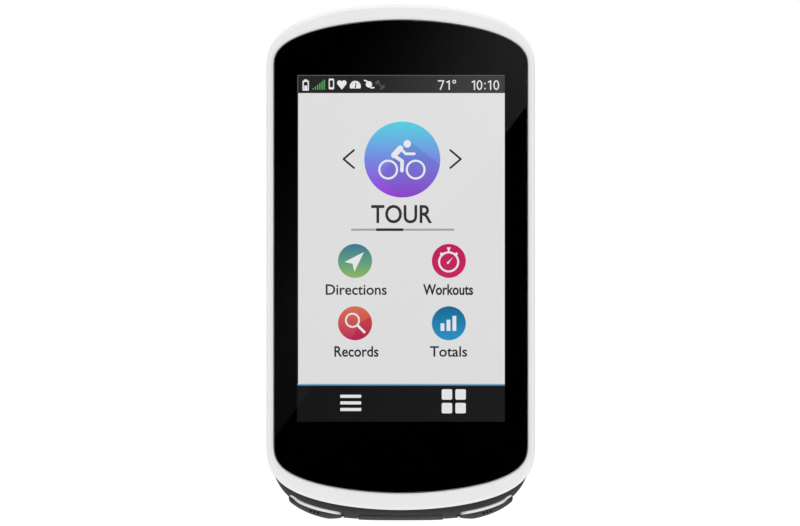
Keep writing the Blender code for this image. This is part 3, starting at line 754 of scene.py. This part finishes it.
def text_mesh(words, left, right, baseline, height, front, back, weight=0.0):
    """Lettering fitted between left and right, with capitals of a height."""
    curve = bpy.data.curves.new("lettering", "FONT")
    curve.body = words
    curve.size = 1.0
    curve.extrude = 0.5
    curve.resolution_u = 4
    curve.offset = weight
    holder = add_object("lettering", curve)
    bpy.context.view_layer.update()
    mesh = bpy.data.meshes.new_from_object(holder.evaluated_get(bpy.context.evaluated_depsgraph_get()))
    bm = bmesh.new()
    bm.from_mesh(mesh)
    bpy.data.objects.remove(holder)
    bpy.data.meshes.remove(mesh)
    bmesh.ops.remove_doubles(bm, verts=bm.verts, dist=1e-5)
    xs = [v.co.x for v in bm.verts]
    wide = (right - left) / (max(xs) - min(xs))
    tall = height / CAPITAL_SHARE
    origin = min(xs)
    for v in bm.verts:
        depth = front if v.co.z > 0 else back
        v.co = place(left + (v.co.x - origin) * wide, depth, baseline + v.co.y * tall)
    return bm


def merged(name, parts, material):
    """Several bmeshes as one piece of the lit picture."""
    whole = bmesh.new()
    for part in parts:
        mesh = bpy.data.meshes.new("part")
        part.to_mesh(mesh)
        part.free()
        whole.from_mesh(mesh)
        bpy.data.meshes.remove(mesh)
    return finish_piece(name, whole, material, slot="screen")


# ------------------------------------------------------------------- pieces

def quarter_turn(count):
    return [math.pi / 2 * i / count for i in range(count + 1)]


def build_bezel():
    """White ring: rounded outer edge, faintly dished face and a tight roll down to the glass."""
    roll_in, roll_depth = 0.75, 1.3
    lip_profile = ((0.85, 0.04), (0.76, 0.09), (0.65, 0.19), (0.52, 0.31), (0.39, 0.41), (0.27, 0.48),
                   (0.18, 0.53), (0.15, 0.60))
    face = grown(BEZEL, -roll_in)
    lip = grown(GLASS, lip_profile[0][0])
    rings = [(grown(BEZEL, -WALL), BEZEL_BACK), (grown(BEZEL, -0.42), BEZEL_BACK),
             (grown(BEZEL, -0.3), BEZEL_BACK - 0.06), (grown(BEZEL, -0.12), 6.1), (BEZEL, 5.6), (BEZEL, 3.4)]
    for a in quarter_turn(9):
        rings.append((grown(BEZEL, -roll_in * (1 - math.cos(a))), roll_depth * (1 - math.sin(a))))
    rings += [(between(face, lip, share), sink) for share, sink in ((0.05, 0.0), (0.35, 0.01), (0.75, 0.035))]
    rings += [(grown(GLASS, offset), depth) for offset, depth in lip_profile]
    rings += [(grown(GLASS, 0.15), LEDGE_FRONT), (grown(GLASS, -1.5), LEDGE_FRONT),
              (grown(GLASS, -1.5), LEDGE_BACK), (grown(BEZEL, -WALL), LEDGE_BACK)]
    loft("bezel", [ring(shape, depth) for shape, depth in rings], material="white_plastic", looped=True,
         nodes=("front_bezel",))


def build_glass():
    """Clear cover glass with a polished edge, and the black print on its back."""
    edge = 0.18
    rings = [(grown(GLASS, -0.2), GLASS_BACK), (grown(GLASS, -0.1), GLASS_BACK), (GLASS, GLASS_BACK - 0.1)]
    rings += [(grown(GLASS, -edge * (1 - math.cos(a))), GLASS_FRONT + edge * (1 - math.sin(a)))
              for a in quarter_turn(7)]
    rings.append((grown(GLASS, -edge - 0.08), GLASS_FRONT))
    loft("clear_cover_glass", [ring(shape, depth) for shape, depth in rings], material="black_glass",
         nodes=("cover_glass",))
    half_width = DISPLAY_WIDTH / 2 + PRINT_MARGIN
    half_height = DISPLAY_HEIGHT / 2 + PRINT_MARGIN
    window = bar(-half_width, DISPLAY_Z - half_height, half_width, DISPLAY_Z + half_height)
    mask = flat_mesh([outline_points(grown(GLASS, -0.12), 24)], GLASS_BACK + 0.02, GLASS_BACK + 0.1)
    mask_piece = finish_piece("black_border_print", mask, "black_print", slot="black_glass")
    cut(mask_piece, finish_piece("window", flat_mesh([window], 1.0, 2.0)))


def build_rear_cover():
    """Dark shell with its key openings, cap seat, screw wells, mount seat and tether bridge."""
    inside = [ring(grown(case_section(depth), -inset), depth, 20) for depth, inset in CASE_INSETS]
    depths = [6.86] + [CASE_FRONT + 0.3 * i for i in range(1, 28)] + [15.18, 15.26, CASE_BACK]
    outside = [ring(grown(case_section(CASE_FRONT), -0.06), CASE_FRONT)]
    outside += [ring(grown(case_section(depth), 0.0), depth) for depth in depths]
    outside += [ring(grown(case_section(CASE_BACK), -0.4), CASE_BACK)]
    shell = loft("rear_shell", outside, material="dark_plastic", nodes=("rear_cover",))
    cut(shell, loft("hollow", inside))
    for x, z in CASE_SCREWS:
        join(shell, turned("boss", x, z, ((3.0, 9.1), (3.0, CASE_FLOOR + 0.4))))
    join(shell, block("bar", (0.0, 16.0, -33.0), (7.4, 2.0, 2.8), bevel=0.7, segments=4))
    cut(shell, block("tether_way", (0.0, 15.2, -33.0), (4.4, 1.5, 9.0), bevel=0.3))
    for x, z in CASE_SCREWS:
        well = ((2.2, SCREW_SEAT), (2.2, CASE_BACK - 0.75), (2.5, CASE_BACK - 0.35), (2.5, 17.0))
        cut(shell, turned("well", x, z, well))
        cut(shell, turned("way", x, z, ((1.25, 8.5), (1.25, SCREW_SEAT + 0.5))))
    seat = ((14.8, 14.45), (14.8, 15.15), (15.05, CASE_BACK), (15.05, 17.0))
    cut(shell, turned("seat", 0.0, MOUNT_Z, seat, TURN_STEPS))
    vent = ((0.7, 13.0), (0.7, 15.0), (0.95, CASE_BACK + 0.02), (0.95, 16.0))
    cut(shell, turned("vent", 10.0, 37.5, vent, 24))
    cut(shell, finish_piece("contact_way", flat_mesh([band(18.1, 22.9, 33.8, 1.3)], 13.0, 16.0)))
    for label, spot in (("start", START_SPOT), ("lap", LAP_SPOT)):
        cut(shell, edge_solid(label + "_pocket", spot, POCKET_HALF_LENGTH, POCKET_NEAR, POCKET_FAR,
                              POCKET_FLOOR, CLEAR_OF_CASE, corner=1.2))
    cut(shell, edge_solid("power_pocket", POWER_SPOT, POWER_KEY_HALF_LENGTH + GAP, KEY_NEAR - GAP,
                          POWER_KEY_FAR + GAP, POCKET_FLOOR, CLEAR_OF_CASE))
    cut(shell, edge_solid("cap_seat", CAP_SPOT, CAP_HALF_WIDTH + CAP_JOINT, CAP_NEAR - GAP, CAP_FAR + GAP,
                          -1.05, 2.0, corner=1.32))
    cut(shell, block("port_way", (0.0, 10.55, -54.5), (16.4, 5.2, 4.4)))
    smooth(shell, 28.0)


def band(radius_in, radius_out, half_angle, corner):
    """An arc band with rounded corners, centred under the mount, as (x, z) points."""
    middle = (radius_in + radius_out) / 2
    reach_out = math.radians(half_angle) * middle
    straight = bar(-reach_out, radius_in, reach_out, radius_out, corner)
    points = []
    for (s, r), (next_s, next_r) in zip(straight, straight[1:] + straight[:1]):
        count = max(1, round(abs(next_s - s) / 0.6))
        for i in range(count):
            share = i / count
            angle = (s + (next_s - s) * share) / middle
            radius = r + (next_r - r) * share
            points.append((radius * math.sin(angle), MOUNT_Z - radius * math.cos(angle)))
    return points


def build_mount():
    """Quarter-turn insert with its two ears, and the contact block with five pads."""
    half_ear = math.radians(30.0)

    def lug(radius, neck=LUG_NECK):
        def at(angle):
            from_vertical = abs(math.asin(min(1.0, abs(math.cos(angle)))))
            share = min(max((half_ear - from_vertical) / math.radians(2.5) + 0.5, 0.0), 1.0)
            return neck + (radius - neck) * share
        return at

    collar = ((14.3, 14.6), (14.5, 14.7), (14.5, 15.1), (14.35, 15.25), (12.75, 15.25), (12.42, 15.38),
              (12.3, 15.7), (12.3, LUG_FRONT - 0.02))
    ears = ((lug(15.6, 12.31), LUG_FRONT), (lug(LUG_RADIUS), LUG_FRONT + 0.15),
            (lug(LUG_RADIUS), DEPTH - 0.35), (lug(15.62, 12.17), DEPTH - 0.1), (lug(15.4, 11.95), DEPTH),
            (lug(15.3, 11.85), DEPTH))
    groove = ((9.3, 0.0), (9.2, 0.0), (9.1, 0.06), (9.05, 0.3), (8.95, 0.36), (8.0, 0.36), (7.9, 0.3),
              (7.85, 0.06), (7.75, 0.0), (7.65, 0.0), (1.0, 0.0))
    profile = collar + ears + tuple((radius, DEPTH - sink) for radius, sink in groove)
    turned("quarter_turn_insert", 0.0, MOUNT_Z, profile, 240, material="black_plastic",
           nodes=("mount_insert",))
    contacts = finish_piece("contact_holder", flat_mesh([band(18.4, 22.6, 33.0, 1.0)], 14.0, 15.15),
                            "black_plastic", nodes=("contact_block",))
    for index in range(5):
        angle = math.radians(-90.0 + 11.5 * (index - 2))
        x, z = CONTACT_RADIUS * math.cos(angle), MOUNT_Z + CONTACT_RADIUS * math.sin(angle)
        cut(contacts, turned("pad_well", x, z, ((1.6, 13.0), (1.6, 15.0), (1.75, 15.16), (1.75, 16.0)), 32))
        pad = ((1.3, 14.2), (1.3, 14.9), (1.24, 14.97), (1.1, 15.0), (1.0, 15.0), (0.6, 14.97), (0.3, 14.96))
        turned(f"charging_pad_{index + 1}", x, z, pad, 32, material="gold",
               nodes=(f"contact_pad_{index + 1}",))
    smooth(contacts)


def build_keys():
    """Start, lap and power keys, and the bright strips and raised marks of the first two."""
    lower = (KEY_HALF_LENGTH, KEY_FAR, KEY_PROUD)
    for label, spot, (half_length, far, proud) in (
            ("start", START_SPOT, lower), ("lap", LAP_SPOT, lower),
            ("power", POWER_SPOT, (POWER_KEY_HALF_LENGTH, POWER_KEY_FAR, POWER_KEY_PROUD))):
        inward = -math.copysign(1.0, spot.x)
        slope = 0.0 if label == "power" else 0.72

        def face_height(along):
            """The face of a lower key slopes away towards the middle of the device."""
            share = max(inward * along / half_length - 0.5, 0.0) / 0.5
            return proud - slope * share ** 1.3

        body = label + "_key"
        key = edge_solid(body + "_top", spot, half_length, KEY_NEAR, far, KEY_ROOT, face_height, edge=0.6,
                         stations=23, material="key_rubber", body=body, nodes=(label + "_button",))
        join(key, edge_solid(label + "_flange", spot, half_length + 0.6, KEY_NEAR - 0.25, far - 0.4,
                             FLANGE_BACK, FLANGE_FRONT, stations=15))
        smooth(key, 40.0)
    for label, spot in (("start", START_SPOT), ("lap", LAP_SPOT)):
        build_strip(label, spot)
        build_dots(label, spot)


def build_strip(label, spot):
    outward = math.copysign(1.0, spot.x)

    def height(along):
        """The strip rises a little outwards and drops at its outer end."""
        share = min(max(0.5 + 0.5 * outward * along / KEY_HALF_LENGTH, 0.0), 1.0)
        return TRIM_PROUD - 0.08 + 0.25 * share ** 2 - 0.35 * min(max(share - 0.82, 0.0) / 0.1, 1.0)

    edge_solid(label + "_bright_strip", spot, KEY_HALF_LENGTH - 0.05, TRIM_NEAR, TRIM_FAR, -1.75, height,
               corner=0.4, edge=0.3, stations=15, material="bright_trim", body=label + "_key",
               nodes=(label + "_button_trim",))


def build_dots(label, spot):
    """Three raised dots on a key's front edge."""
    sunk = 0.17
    for index, along in enumerate((-0.85, 0.0, 0.85), 1):
        x, z = on_spot(spot, along, reach(spot, along, case_section(KEY_NEAR)) + KEY_PROUD - sunk)
        dot = bmesh.new()
        bmesh.ops.create_uvsphere(dot, u_segments=16, v_segments=10, radius=0.25 * MM)
        bmesh.ops.translate(dot, vec=place(x, KEY_NEAR + sunk, z), verts=dot.verts)
        finish_piece(f"{label}_key_dot_{index}", dot, "key_mark", label + "_key", slot="key_rubber")


def build_cap():
    """Rubber cap over the sockets, with its plug."""
    cap = edge_solid("port_cap", CAP_SPOT, CAP_HALF_WIDTH, CAP_NEAR, CAP_FAR, -0.8, CAP_PROUD, corner=1.3,
                     edge=0.25, stations=13, material="cap_rubber", body="cap", nodes=("weather_cap",))
    join(cap, block("plug", (0.0, 10.45, -54.85), (15.7, 4.2, 1.9), bevel=0.5, segments=4))
    smooth(cap, 40.0)


def build_sockets():
    """Charging socket with its contact tongue, and the card socket, behind the cap."""
    mouth = SOCKET_MOUTH_Z
    shell = block("charging_socket", (0.0, 11.65, mouth + 2.6), (7.5, 2.4, 5.15), bevel=0.5, segments=4)
    cut(shell, block("mouth", (0.0, 11.65, mouth + 2.0), (6.95, 1.85, 5.0), bevel=0.35, segments=4))
    dress(shell, "steel", nodes=("usb_socket",))
    dress(block("socket_tongue", (0.0, 11.35, mouth + 2.9), (3.8, 0.55, 4.3), bevel=0.12), "black_plastic")
    card = block("memory_card_socket", (0.0, 8.7, mouth + 7.0), (13.3, 1.18, 13.9), bevel=0.15)
    cut(card, block("slot", (0.0, 8.7, mouth + 5.6), (11.4, 0.75, 13.0), bevel=0.08))
    dress(card, "steel", nodes=("card_socket",))
    for name, count, pitch, depth, z, size in (
            ("socket_contact", 5, 0.65, 11.66, mouth + 2.7, (0.28, 0.06, 3.6)),
            ("card_contact", 8, 1.25, 8.98, mouth + 5.0, (0.55, 0.08, 4.0))):
        for index in range(count):
            dress(block(f"{name}_{index + 1}", (pitch * (index - (count - 1) / 2), depth, z), size), "gold")


def build_screws():
    """Case screws with a six-sided socket."""
    def hexagon(across_flats):
        def at(angle):
            turn = (angle + math.pi / 6) % (math.pi / 3) - math.pi / 6
            return across_flats / 2 / math.cos(turn)
        return at

    for index, (x, z) in enumerate(CASE_SCREWS, 1):
        profile = ((0.4, 6.4), (1.0, 6.8), (1.0, 12.75), (1.85, 12.75), (1.85, 13.5), (1.8, 13.68),
                   (1.68, 13.8), (1.5, 13.85), (1.45, 13.85), (0.95, 13.85), (hexagon(1.5), 13.72),
                   (hexagon(1.5), 13.15), (0.2, 12.95))
        turned(f"cover_screw_{index}", x, z, profile, 48, material="black_steel",
               nodes=(f"case_screw_{index}",))


# ------------------------------------------------------------------- screen

def build_screen():
    """The lit picture: bars, icons, generic words and numbers, in thin layers before the panel."""
    half = DISPLAY_WIDTH / 2
    top = DISPLAY_Z + DISPLAY_HEIGHT / 2
    bottom = DISPLAY_Z - DISPLAY_HEIGHT / 2
    status_low = top - 3.95
    footer_top = -27.0
    slant = Vector((0.35, 0.0, 0.94)).normalized()
    glow("screen_page", [(0.0, (221, 221, 221)), (1.0, (225, 225, 225))], -50.0, 40.0, slant)
    status = [(at, (level, level, level + 1)) for at, level in
              ((0.0, 40), (0.42, 40), (0.50, 44), (0.64, 50), (0.80, 56), (1.0, 59))]
    glow("screen_status", status, -half, half, (1.0, 0.0, 0.0))
    glow("screen_footer", [(0.0, (24, 24, 25)), (1.0, (30, 30, 31))], -half, half, (1.0, 0.0, 0.0))
    for name, low, high in (
            ("white", (226, 228, 230), (234, 234, 236)), ("dim", (88, 88, 90), (104, 104, 106)),
            ("dark", (42, 42, 44), (48, 48, 50)), ("grey", (154, 154, 156), (166, 166, 168))):
        glow("screen_" + name, [(0.0, low), (1.0, high)], -40.0, 40.0)
    glow("screen_green", [(0.0, (72, 150, 88)), (1.0, (92, 172, 104))], 35.0 - MOUNT_Z, 41.0 - MOUNT_Z)
    glow("screen_idle", [(0.0, (72, 72, 74)), (1.0, (86, 86, 88))], 35.0 - MOUNT_Z, 41.0 - MOUNT_Z)
    glow("screen_blue_line", [(0.0, (42, 90, 122)), (0.6, (117, 163, 193)), (1.0, (150, 185, 208))],
         footer_top - MOUNT_Z, footer_top + 0.45 - MOUNT_Z)
    left = -half + 0.14
    page = bar(left + 0.15, bottom + 0.1, half, top)
    flat("picture_page", [page], 0, "screen_page")
    flat("picture_status_bar", [bar(left, status_low, half, top)], 1, "screen_status")
    edge_line = [bar(left, top - 0.12, half, top), bar(left, status_low, left + 0.12, top)]
    flat("picture_edge_line", edge_line, 2, "screen_dim")
    flat("picture_footer", [bar(left, bottom + 0.08, half, footer_top)], 1, "screen_footer")
    line = bar(left, footer_top, half, footer_top + 0.45)
    flat("picture_footer_line", [line], 1, "screen_blue_line")
    build_status_icons(top - 1.95)
    build_main_icon()
    build_small_icons()
    build_footer_icons()
    build_words(top - 1.95)
    build_page_marks()


def build_status_icons(z):
    """Battery, signal bars, plain upright outline, pulse, gauge, sensor and an idle mark."""
    white = [bar(-21.6, z - 1.45, -20.2, z + 0.75, 0.15), bar(-21.25, z + 0.7, -20.55, z + 1.0, 0.1)]
    white.append(bar(-15.85, z - 1.2, -14.65, z + 1.2, 0.3))
    white += [disc(-13.45, z + 0.25, 0.56, 24), disc(-12.47, z + 0.25, 0.56, 24),
              [(-13.95, z - 0.02), (-12.96, z - 1.25), (-11.97, z - 0.02), (-12.96, z + 0.4)]]
    dome = [(x, max(height, z - 0.98)) for x, height in disc(-10.0, z - 0.52, 1.22, 40)]
    white.append(dome)
    white += stroke_line([(-8.0, z + 0.78), (-7.5, z + 0.68), (-7.3, z + 0.3)], 0.3)
    white += stroke_line([(-6.7, z - 0.6), (-6.5, z - 0.88), (-5.9, z - 0.78)], 0.3)
    white.append(disc(-7.0, z - 0.08, 0.7, 24))
    flat("icon_status_marks", white, 2, "screen_white")
    dark = [bar(-21.32, z - 0.35, -20.48, z + 0.45), bar(-21.32, z - 1.2, -21.2, z - 0.3),
            bar(-20.6, z - 1.2, -20.48, z - 0.3), bar(-15.6, z - 0.7, -14.9, z + 0.8)]
    dark += stroke_line([(-10.0, z - 0.8), (-9.85, z + 0.1)], 0.24)
    for angle in (40.0, 90.0, 140.0):
        turn = math.radians(angle)
        dark.append(disc(-10.0 + 0.92 * math.cos(turn), z - 0.52 + 0.92 * math.sin(turn), 0.1, 12))
    flat("icon_dark_details", dark, 3, "screen_status")
    bars = [bar(-19.4 + 0.49 * i, z - 1.25, -19.12 + 0.49 * i, z - 0.95 + 0.38 * i) for i in range(6)]
    flat("icon_signal_bars", bars, 2, "screen_green")
    idle = stroke_line([(-5.2, z + 0.4), (-4.0, z - 0.7)], 0.3)
    idle += stroke_line([(-5.4, z + 0.15), (-4.95, z + 0.6)], 0.5)
    idle += stroke_line([(-4.3, z - 1.0), (-3.75, z - 0.5)], 0.55)
    flat("icon_idle", idle, 2, "screen_idle")


def build_main_icon():
    """Large round icon with a rider, in a blue to violet run of colour."""
    x, z, radius = 0.33, 22.75, 8.35
    violet = [(0.0, (158, 52, 222)), (0.22, (138, 92, 220)), (0.5, (118, 134, 226)), (1.0, (84, 208, 226))]
    shaded = [(0.0, (140, 62, 200)), (0.5, (108, 120, 212)), (1.0, (82, 188, 212))]
    disc_glow("screen_violet", violet, z, radius)
    disc_glow("screen_violet_shade", shaded, z, radius)
    flat("icon_ride_disc", [disc(x, z, radius, 96)], 2, "screen_violet")
    shade = [(1.9, 26.9), (-4.6, 19.1)] + disc(x, z, radius, 24, 261.0, 352.0)
    flat("icon_ride_shade", [shade], 3, "screen_violet_shade")
    rider = hoop(-2.77, 20.53, 1.95, 0.46) + hoop(3.27, 20.53, 1.95, 0.46)
    rider.append(disc(1.43, 26.2, 0.83, 32))
    rider += stroke_line([(-1.5, 23.7), (-0.1, 25.2)], 1.25)
    rider += stroke_line([(-0.1, 25.2), (1.1, 24.0), (2.95, 24.0)], 0.6)
    rider += stroke_line([(-1.5, 23.6), (0.3, 22.4), (0.25, 20.3)], 0.78)
    flat("icon_ride_figure", rider, 4, "screen_white")


def build_small_icons():
    """Four round icons: direction arrow, stopwatch, magnifier and bars."""
    left, right, upper, lower, radius = -10.05, 10.57, 0.46, -13.25, 3.74
    discs = (
        ("route", left, upper, [(0.0, (141, 179, 100)), (0.45, (96, 158, 124)), (1.0, (61, 117, 148))]),
        ("workout", right, upper, [(0.0, (200, 40, 98)), (1.0, (190, 35, 92))]),
        ("records", left, lower, [(0.0, (185, 46, 88)), (0.5, (204, 78, 84)), (1.0, (214, 111, 82))]),
        ("totals", right, lower, [(0.0, (44, 146, 196)), (1.0, (26, 105, 147))]),
    )
    for name, x, z, stops in discs:
        disc_glow("screen_" + name, stops, z, radius)
        flat(f"icon_{name}_disc", [disc(x, z, radius, 64)], 2, "screen_" + name)
    disc_glow("screen_records_shade", [(0.0, (174, 34, 84)), (1.0, (212, 80, 62))], lower, radius)
    shade = [(left + 0.45, lower - 0.35), (left - 0.1, lower - 2.1)]
    shade += disc(left, lower, radius, 20, 258.0, 385.0)
    flat("icon_records_shade", [shade], 3, "screen_records_shade")
    arrow = [(left + 1.95, upper + 1.95), (left - 2.35, upper - 0.25), (left - 0.55, upper - 0.62),
             (left - 0.15, upper - 2.4)]
    shapes = [arrow]
    shapes += hoop(right - 0.04, upper - 0.22, 2.1, 0.42)
    shapes.append([(right - 0.45, upper + 2.97), (right - 0.2, upper + 2.3), (right - 0.2, upper + 1.9),
                   (right + 0.14, upper + 1.9), (right + 0.14, upper + 2.3), (right + 0.39, upper + 2.97)])
    for side in (-1, 1):
        shapes += stroke_line([(right + side * 1.45, upper + 1.35), (right + side * 1.65, upper + 1.55)], 0.6)
    shapes.append([(right + 0.95, upper + 0.8), (right - 0.38, upper - 0.3), (right - 0.12, upper - 0.58)])
    shapes.append(disc(right - 0.2, upper - 0.42, 0.24, 20))
    shapes += hoop(left - 0.57, lower + 0.66, 1.45, 0.38)
    shapes += stroke_line([(left + 0.5, lower - 0.42), (left + 2.2, lower - 2.1)], 0.55, round_ends=False)
    for start, height in ((-1.82, 1.65), (-0.5, 2.45), (0.8, 3.3)):
        shapes.append(bar(right + start, lower - 1.67, right + start + 0.83, lower - 1.67 + height))
    flat("icon_small_marks", shapes, 4, "screen_white")


def build_footer_icons():
    """Menu bars and a plain grid of squares."""
    shapes = [bar(-13.3, z - 0.34, -8.7, z + 0.34, 0.1) for z in (-29.3, -30.75, -32.2)]
    for x in (9.0, 12.0):
        for z in (-31.9, -28.9):
            shapes.append(bar(x, z - 1.15, x + 2.3, z + 1.15, 0.35))
    flat("icon_footer_marks", shapes, 2, "screen_white")


def one(x, low, high):
    return stroke_line([(x - 0.5, high - 0.42), (x, high - 0.14), (x, low + 0.12)], 0.27)


def zero(x, low, high):
    middle = (low + high) / 2
    half_height = high - middle - 0.12
    turns = [2 * math.pi * i / 24 for i in range(25)]
    return stroke_line([(x + 0.5 * math.cos(a), middle + half_height * math.sin(a)) for a in turns], 0.26)


def seven(left, right, low, high):
    return stroke_line([(left, high - 0.13), (right - 0.12, high - 0.13), (left + 0.45, low + 0.12)], 0.26)


def build_words(status_z):
    """Plain words and numbers, closed flat letters."""
    low, high = status_z - 1.3, status_z + 0.82
    numbers = seven(8.25, 9.55, low, high) + one(10.65, low, high) + hoop(11.75, high - 0.32, 0.32, 0.19, 24)
    numbers += one(16.2, low, high) + zero(17.3, low, high) + one(19.75, low, high) + zero(21.0, low, high)
    numbers += [disc(18.5, low + rise, 0.17, 16) for rise in (0.3, 1.4)]
    flat("words_status", numbers, 2, "screen_white")
    labels = (("TOUR", -6.5, 6.9, 8.85, 3.85, 0.014), ("Directions", -16.5, -3.1, -6.95, 2.25, 0.014),
              ("Workouts", 4.9, 15.9, -6.95, 2.25, 0.025), ("Records", -14.6, -4.9, -20.55, 2.25, 0.018),
              ("Totals", 6.4, 14.6, -20.55, 2.25, 0.014))
    words = [text_mesh(*label, *layer(1), weight=weight) for *label, weight in labels]
    merged("words_page", words, "screen_dark")


def build_page_marks():
    """Chevrons either side of the large icon, and the page line under the title."""
    chevrons = []
    for x, way in ((-10.3, -1), (10.9, 1)):
        chevrons += stroke_line([(x, 24.8), (x + way * 2.28, 22.85), (x, 20.9)], 0.44)
    flat("mark_chevrons", chevrons, 1, "screen_dark")
    flat("mark_page_line", [bar(-10.9, 7.1, 11.7, 7.54)], 1, "screen_grey")
    flat("mark_page_place", [bar(-5.4, 7.03, 0.55, 7.62)], 2, "screen_dark")


# ------------------------------------------------------- CAD nodes that stay

def dress_nodes():
    """Every node still shown takes the finish of its slot."""
    swaps = {"screen": "panel_frame"}
    for name, obj in frame["nodes"].items():
        if obj.hide_render:
            continue
        finish = NODE_SLOT[name]
        for holder in obj.material_slots:
            holder.material = MATERIALS[swaps.get(finish, finish)]


# -------------------------------------------------------------------- stage

def build_stage():
    """Pale lit floor, clear from beneath, a card that only the gloss sees, soft lights and the camera."""
    floor_z = CAD_BOX[0][2] - FLOOR_DROP * MM
    bm = bmesh.new()
    bmesh.ops.create_grid(bm, x_segments=1, y_segments=1, size=FLOOR_HALF)
    bmesh.ops.translate(bm, vec=(0.0, 0.0, floor_z), verts=bm.verts)
    floor = add_mesh("floor", bm)
    floor.data.materials.append(floor_material())
    floor.visible_glossy = False
    floor.visible_transmission = False
    build_card()
    for name, where, size, power in (("overhead", (0.0, 0.05, 0.80), 0.9, 2.5),
                                     ("left_soft", (-0.8, -0.5, 0.30), 0.5, 1.3),
                                     ("right_soft", (0.8, -0.5, 0.25), 0.5, 1.3)):
        light = bpy.data.lights.new(name, "AREA")
        light.shape = "DISK"
        light.size = size
        light.energy = power
        lamp = add_object(name, light)
        lamp.location = where
        lamp.rotation_euler = (-Vector(where)).to_track_quat("-Z", "Y").to_euler()
    build_world()
    build_camera()
    bpy.context.scene.view_settings.view_transform = "Standard"


def build_card():
    """A black card before the glass, faintly lit on one side of a slanting edge, seen only in reflections."""
    spread = 1.0 + CARD_DISTANCE / (VIEW_WIDTH * CAMERA_LENS / SENSOR)
    slope, crossing = 1.314, -2.05      # the edge: z = slope * x + crossing
    half_width, half_height = 60.0, 120.0
    depth = GLASS_FRONT - CARD_DISTANCE

    def card(name, points, material):
        bm = bmesh.new()
        corners = [place(VIEW_X + x * spread, depth, VIEW_Z + z * spread) for x, z in points]
        bm.faces.new([bm.verts.new(corner) for corner in corners])
        obj = add_mesh(name, bm)
        obj.data.materials.append(material)
        for ray in ("camera", "diffuse", "volume_scatter", "shadow"):
            setattr(obj, "visible_" + ray, False)

    low = (-half_width, slope * -half_width + crossing)
    high = (half_width, slope * half_width + crossing)
    normal = Vector((-slope, 0.0, 1.0)).normalized()
    along = Vector((1.0, 0.0, slope)).normalized()
    edge_at = normal.dot(place(VIEW_X, depth, VIEW_Z + crossing * spread) / MM)
    lit = reflection_glow("card_lit", normal, along, edge_at)
    unlit = glow("card_unlit", [(0.0, (0, 0, 0)), (1.0, (2, 2, 2))], -60.0, 60.0)
    card("card_upper", [low, high, (half_width, half_height), (-half_width, half_height)], lit)
    card("card_lower", [low, (-half_width, -half_height), (half_width, -half_height), high], unlit)


def build_world():
    """White to the eye, a soft sky for matt surfaces and a darker one for reflections."""
    world = bpy.data.worlds.new("soft_white")
    bpy.context.scene.world = world
    world.use_nodes = True
    backdrop = world.node_tree.nodes["Background"]
    backdrop.inputs["Color"].default_value = (1.0, 1.0, 1.0, 1.0)
    source = add_node(world, "ShaderNodeTexCoord")
    split = add_node(world, "ShaderNodeSeparateXYZ", {"Vector": source.outputs["Generated"]})
    path = add_node(world, "ShaderNodeLightPath")
    steep = add_node(world, "ShaderNodeMath", {0: split.outputs["Z"]}, operation="ABSOLUTE")

    def graded(level, top):
        return remap(world, steep.outputs["Value"], level, top, 0.0, 1.0)

    def chosen(test, first, second):
        mix = add_node(world, "ShaderNodeMix", {0: path.outputs[test], 2: first, 3: second})
        return mix.outputs[0]

    light = chosen("Is Diffuse Ray", graded(*WORLD_GLOSS), graded(*WORLD_MATT))
    world.node_tree.links.new(chosen("Is Camera Ray", light, 1.0), backdrop.inputs["Strength"])


def build_camera():
    lens = bpy.data.cameras.new("camera")
    lens.lens = CAMERA_LENS
    lens.sensor_width = SENSOR
    lens.clip_end = 20.0
    camera = add_object("camera", lens)
    camera.location = place(VIEW_X, -VIEW_WIDTH * CAMERA_LENS / SENSOR, VIEW_Z)
    camera.rotation_euler = (math.radians(90.0), 0.0, 0.0)
    bpy.context.scene.camera = camera


build_materials()
build_bezel()
build_glass()
build_rear_cover()
build_mount()
build_keys()
build_cap()
build_screws()
build_sockets()
build_screen()
dress_nodes()
build_stage()
